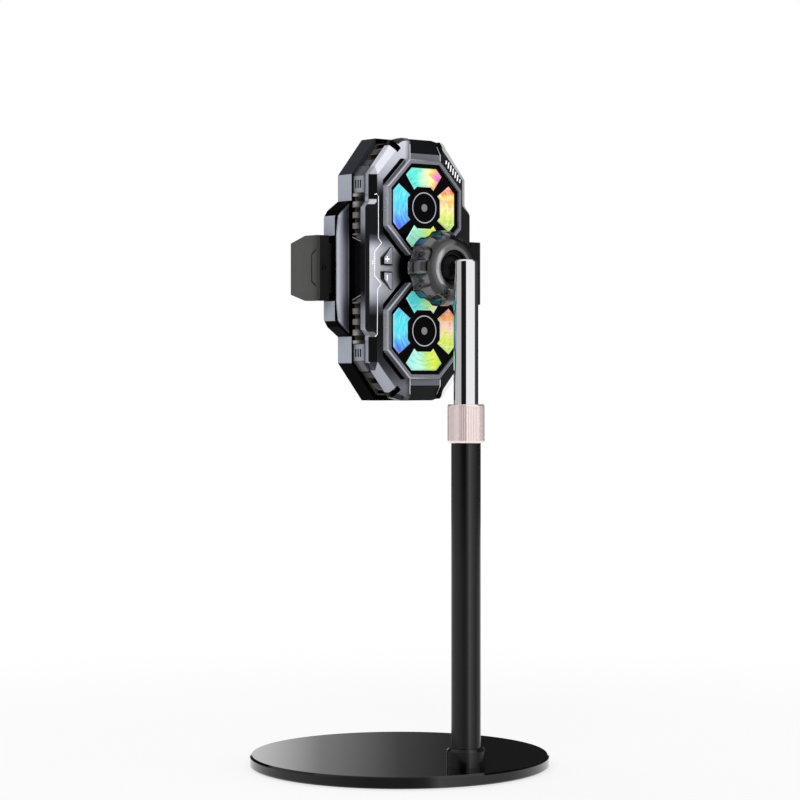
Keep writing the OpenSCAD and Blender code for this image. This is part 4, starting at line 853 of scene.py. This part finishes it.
def light_bars():
    """Each bar is a box: corner signs times half sizes, turned about the depth, and moved to its slot."""
    corners = np.array([(-1, -1, -1), (1, -1, -1), (1, 1, -1), (-1, 1, -1),
                        (-1, -1, 1), (1, -1, 1), (1, 1, 1), (-1, 1, 1)], float)
    i = np.arange(len(SLOT_LENGTHS))
    half = np.column_stack([np.full(i.shape, BAR_HALF_WIDTH), np.full(i.shape, BAR_HALF_DEPTH),
                            SLOT_LENGTHS / 2 - BAR_PLAY])
    box = corners[None] * half[:, None]
    c, s = math.cos(SLOT_TURN), math.sin(SLOT_TURN)
    turned = np.stack([box[..., 0] * c + box[..., 2] * s, box[..., 1], box[..., 2] * c - box[..., 0] * s], -1)
    at = np.column_stack([FIRST_SLOT[0] + i * SLOT_PITCH, np.full(i.shape, FACE_Y + BAR_DEPTH),
                          FIRST_SLOT[1] - i * SLOT_PITCH])
    points = (turned + at[:, None] + [0, 0, COOLER_Z]).reshape(-1, 3)
    sides = np.array([(3, 2, 1, 0), (4, 5, 6, 7), (0, 1, 5, 4), (1, 2, 6, 5), (2, 3, 7, 6), (3, 0, 4, 7)])
    return points, outwards(points, (sides[None] + 8 * i[:, None, None]).reshape(-1, 4))


make_piece("corner_light_bars", *light_bars(), "glowing bars", "cooler", "light_white", sharp=20)

# %% [markdown]
# ## The studio
# A chrome tube is a picture of its room. In the photograph it shows, from left to right, a bright strip far
# behind, some dark, a light grey wall, a black card, a white wall and the dark behind. One round wall carries
# those tones by the angle at which it stands round the object. Only mirror rays see it, so it neither lights
# the object nor stands in the picture.

# %% Studio wall
WALL_RADIUS, WALL_LOW, WALL_HIGH, WALL_ROWS = 1.6, -0.3, 2.2, 3
WALL_TONES = [(-180, 0.10), (-177, 0.35), (-174.5, 1.0), (-170, 1.0), (-166, 0.3), (-160, 0.02), (-137, 0.02),
              (-133, 0.56), (-47, 0.56), (-43, 0.012), (0, 0.012), (3, 1.0), (85, 1.0), (91, 0.05),
              (135, 0.05), (150, 0.015), (177, 0.02), (180, 0.10)]


def studio_wall():
    """A cylinder round the object, open at both ends. The tone at each angle from the camera's direction is
    read off the list of tones by straight lines between them."""
    psi = np.linspace(-180, 180, 721)
    height = np.linspace(WALL_LOW, WALL_HIGH, WALL_ROWS)
    turn = np.radians(psi)[None, :]
    to_camera = np.array([-math.sin(VIEW_ANGLE), -math.cos(VIEW_ANGLE)])
    to_right = np.array([math.cos(VIEW_ANGLE), -math.sin(VIEW_ANGLE)])
    flat = np.cos(turn)[..., None] * to_camera + np.sin(turn)[..., None] * to_right
    flat = np.broadcast_to(flat, (WALL_ROWS, len(psi), 2)) * WALL_RADIUS
    points = np.concatenate([flat, np.broadcast_to(height[:, None, None], (WALL_ROWS, len(psi), 1))], -1)
    tones = np.interp(psi, *np.array(WALL_TONES).T)
    return points.reshape(-1, 3), grid_faces(WALL_ROWS, len(psi), False, False), np.tile(tones, WALL_ROWS)


points, faces, tones = studio_wall()
wall_mesh = bpy.data.meshes.new("studio_wall")
wall_mesh.from_pydata(points.tolist(), [], faces.tolist())
tone = wall_mesh.color_attributes.new("tone", "FLOAT_COLOR", "POINT")
tone.data.foreach_set("color", np.column_stack([tones, tones, tones, np.ones_like(tones)]).ravel())
wall_bench = start("wall tones")
read = wall_bench.add("ShaderNodeAttribute", attribute_name="tone")
glow = wall_bench.add("ShaderNodeEmission", {"Color": read.outputs["Color"], "Strength": 1.0})
wall_bench.tree.links.new(glow.outputs[0], wall_bench.tree.nodes["Material Output"].inputs["Surface"])
wall_mesh.materials.append(finishes["wall tones"])
studio = add_object("studio_wall", wall_mesh)
studio.visible_camera = studio.visible_diffuse = studio.visible_shadow = False
studio.visible_transmission = False
print("studio wall with", len(WALL_TONES), "tones")

# %% [markdown]
# ## Floor and air
# The picture has a plain white ground. The floor is pale, and it shows a little brighter to the camera, to
# mirrors and through glass, which leaves the soft shadow of the base. The air behind is white to the same
# rays, and a dimmer soft light to everything else.

# %% Floor and world
FLOOR_HALF, NEAR_SHARE, AIR_SHARE = 4, 0.72, 0.62
floor_mesh = bpy.data.meshes.new("floor")
corners = [(-1, -1), (1, -1), (1, 1), (-1, 1)]
floor_mesh.from_pydata([(x * FLOOR_HALF, y * FLOOR_HALF, 0) for x, y in corners], [], [(0, 1, 2, 3)])
ground = start("pale floor")
ground.shader.inputs["Base Color"].default_value = (0.86, 0.86, 0.86, 1)
ground.shader.inputs["Roughness"].default_value = 0.9
ground.shader.inputs["Specular IOR Level"].default_value = 0.0
white = ground.add("ShaderNodeEmission", {"Color": (1, 1, 1, 1), "Strength": 1.0})
x, y, z = ground.place()
far = ground.rise(ground.distance(x, y), 300.0, 170.0)
bright = ground.sum("ADD", NEAR_SHARE, ground.sum("MULTIPLY", far, 1 - NEAR_SHARE))
blend = ground.add("ShaderNodeMixShader", {0: ground.sum("MULTIPLY", ground.seen_directly(), bright),
                                           1: ground.shader.outputs[0], 2: white.outputs[0]})
ground.tree.links.new(blend.outputs[0], ground.tree.nodes["Material Output"].inputs["Surface"])
floor_mesh.materials.append(finishes["pale floor"])
floor = add_object("floor", floor_mesh)

world = bpy.data.worlds.new("studio air")
bpy.context.scene.world = world
world.use_nodes = True
air = Bench(world.node_tree)
strength = air.sum("ADD", AIR_SHARE, air.sum("MULTIPLY", air.seen_directly(), 1 - AIR_SHARE))
air.tree.links.new(strength, world.node_tree.nodes["Background"].inputs["Strength"])
world.node_tree.nodes["Background"].inputs["Color"].default_value = (1, 1, 1, 1)
print("floor and air")

# %% [markdown]
# ## Lamps
# Three large soft lamps: the main one high on the left of the camera, a weaker one on the right, and one from
# above and behind that lifts the upper edges. They are hidden from mirrors, which see the studio wall.

# %% Lamps
LAMPS = {"main": ((-1.0, -0.9, 1.0), 0.9, 9.0), "side": ((0.9, -1.0, 0.5), 0.8, 3.0),
         "top": ((0.1, 0.5, 1.3), 0.9, 4.0)}
LAMP_TARGET = (0, 0, 0.15)
for name, (place, size, power) in LAMPS.items():
    data = bpy.data.lights.new(name, "AREA")
    data.size = size
    data.energy = power
    lamp = add_object(name, data)
    lamp.location = place
    aim = np.array(LAMP_TARGET) - np.array(place)
    tilt = math.acos(-aim[2] / np.linalg.norm(aim))
    lamp.rotation_euler = (tilt, 0, math.atan2(aim[1], aim[0]) - math.pi / 2)
    lamp.visible_glossy = False
    print(name, "lamp at", place)
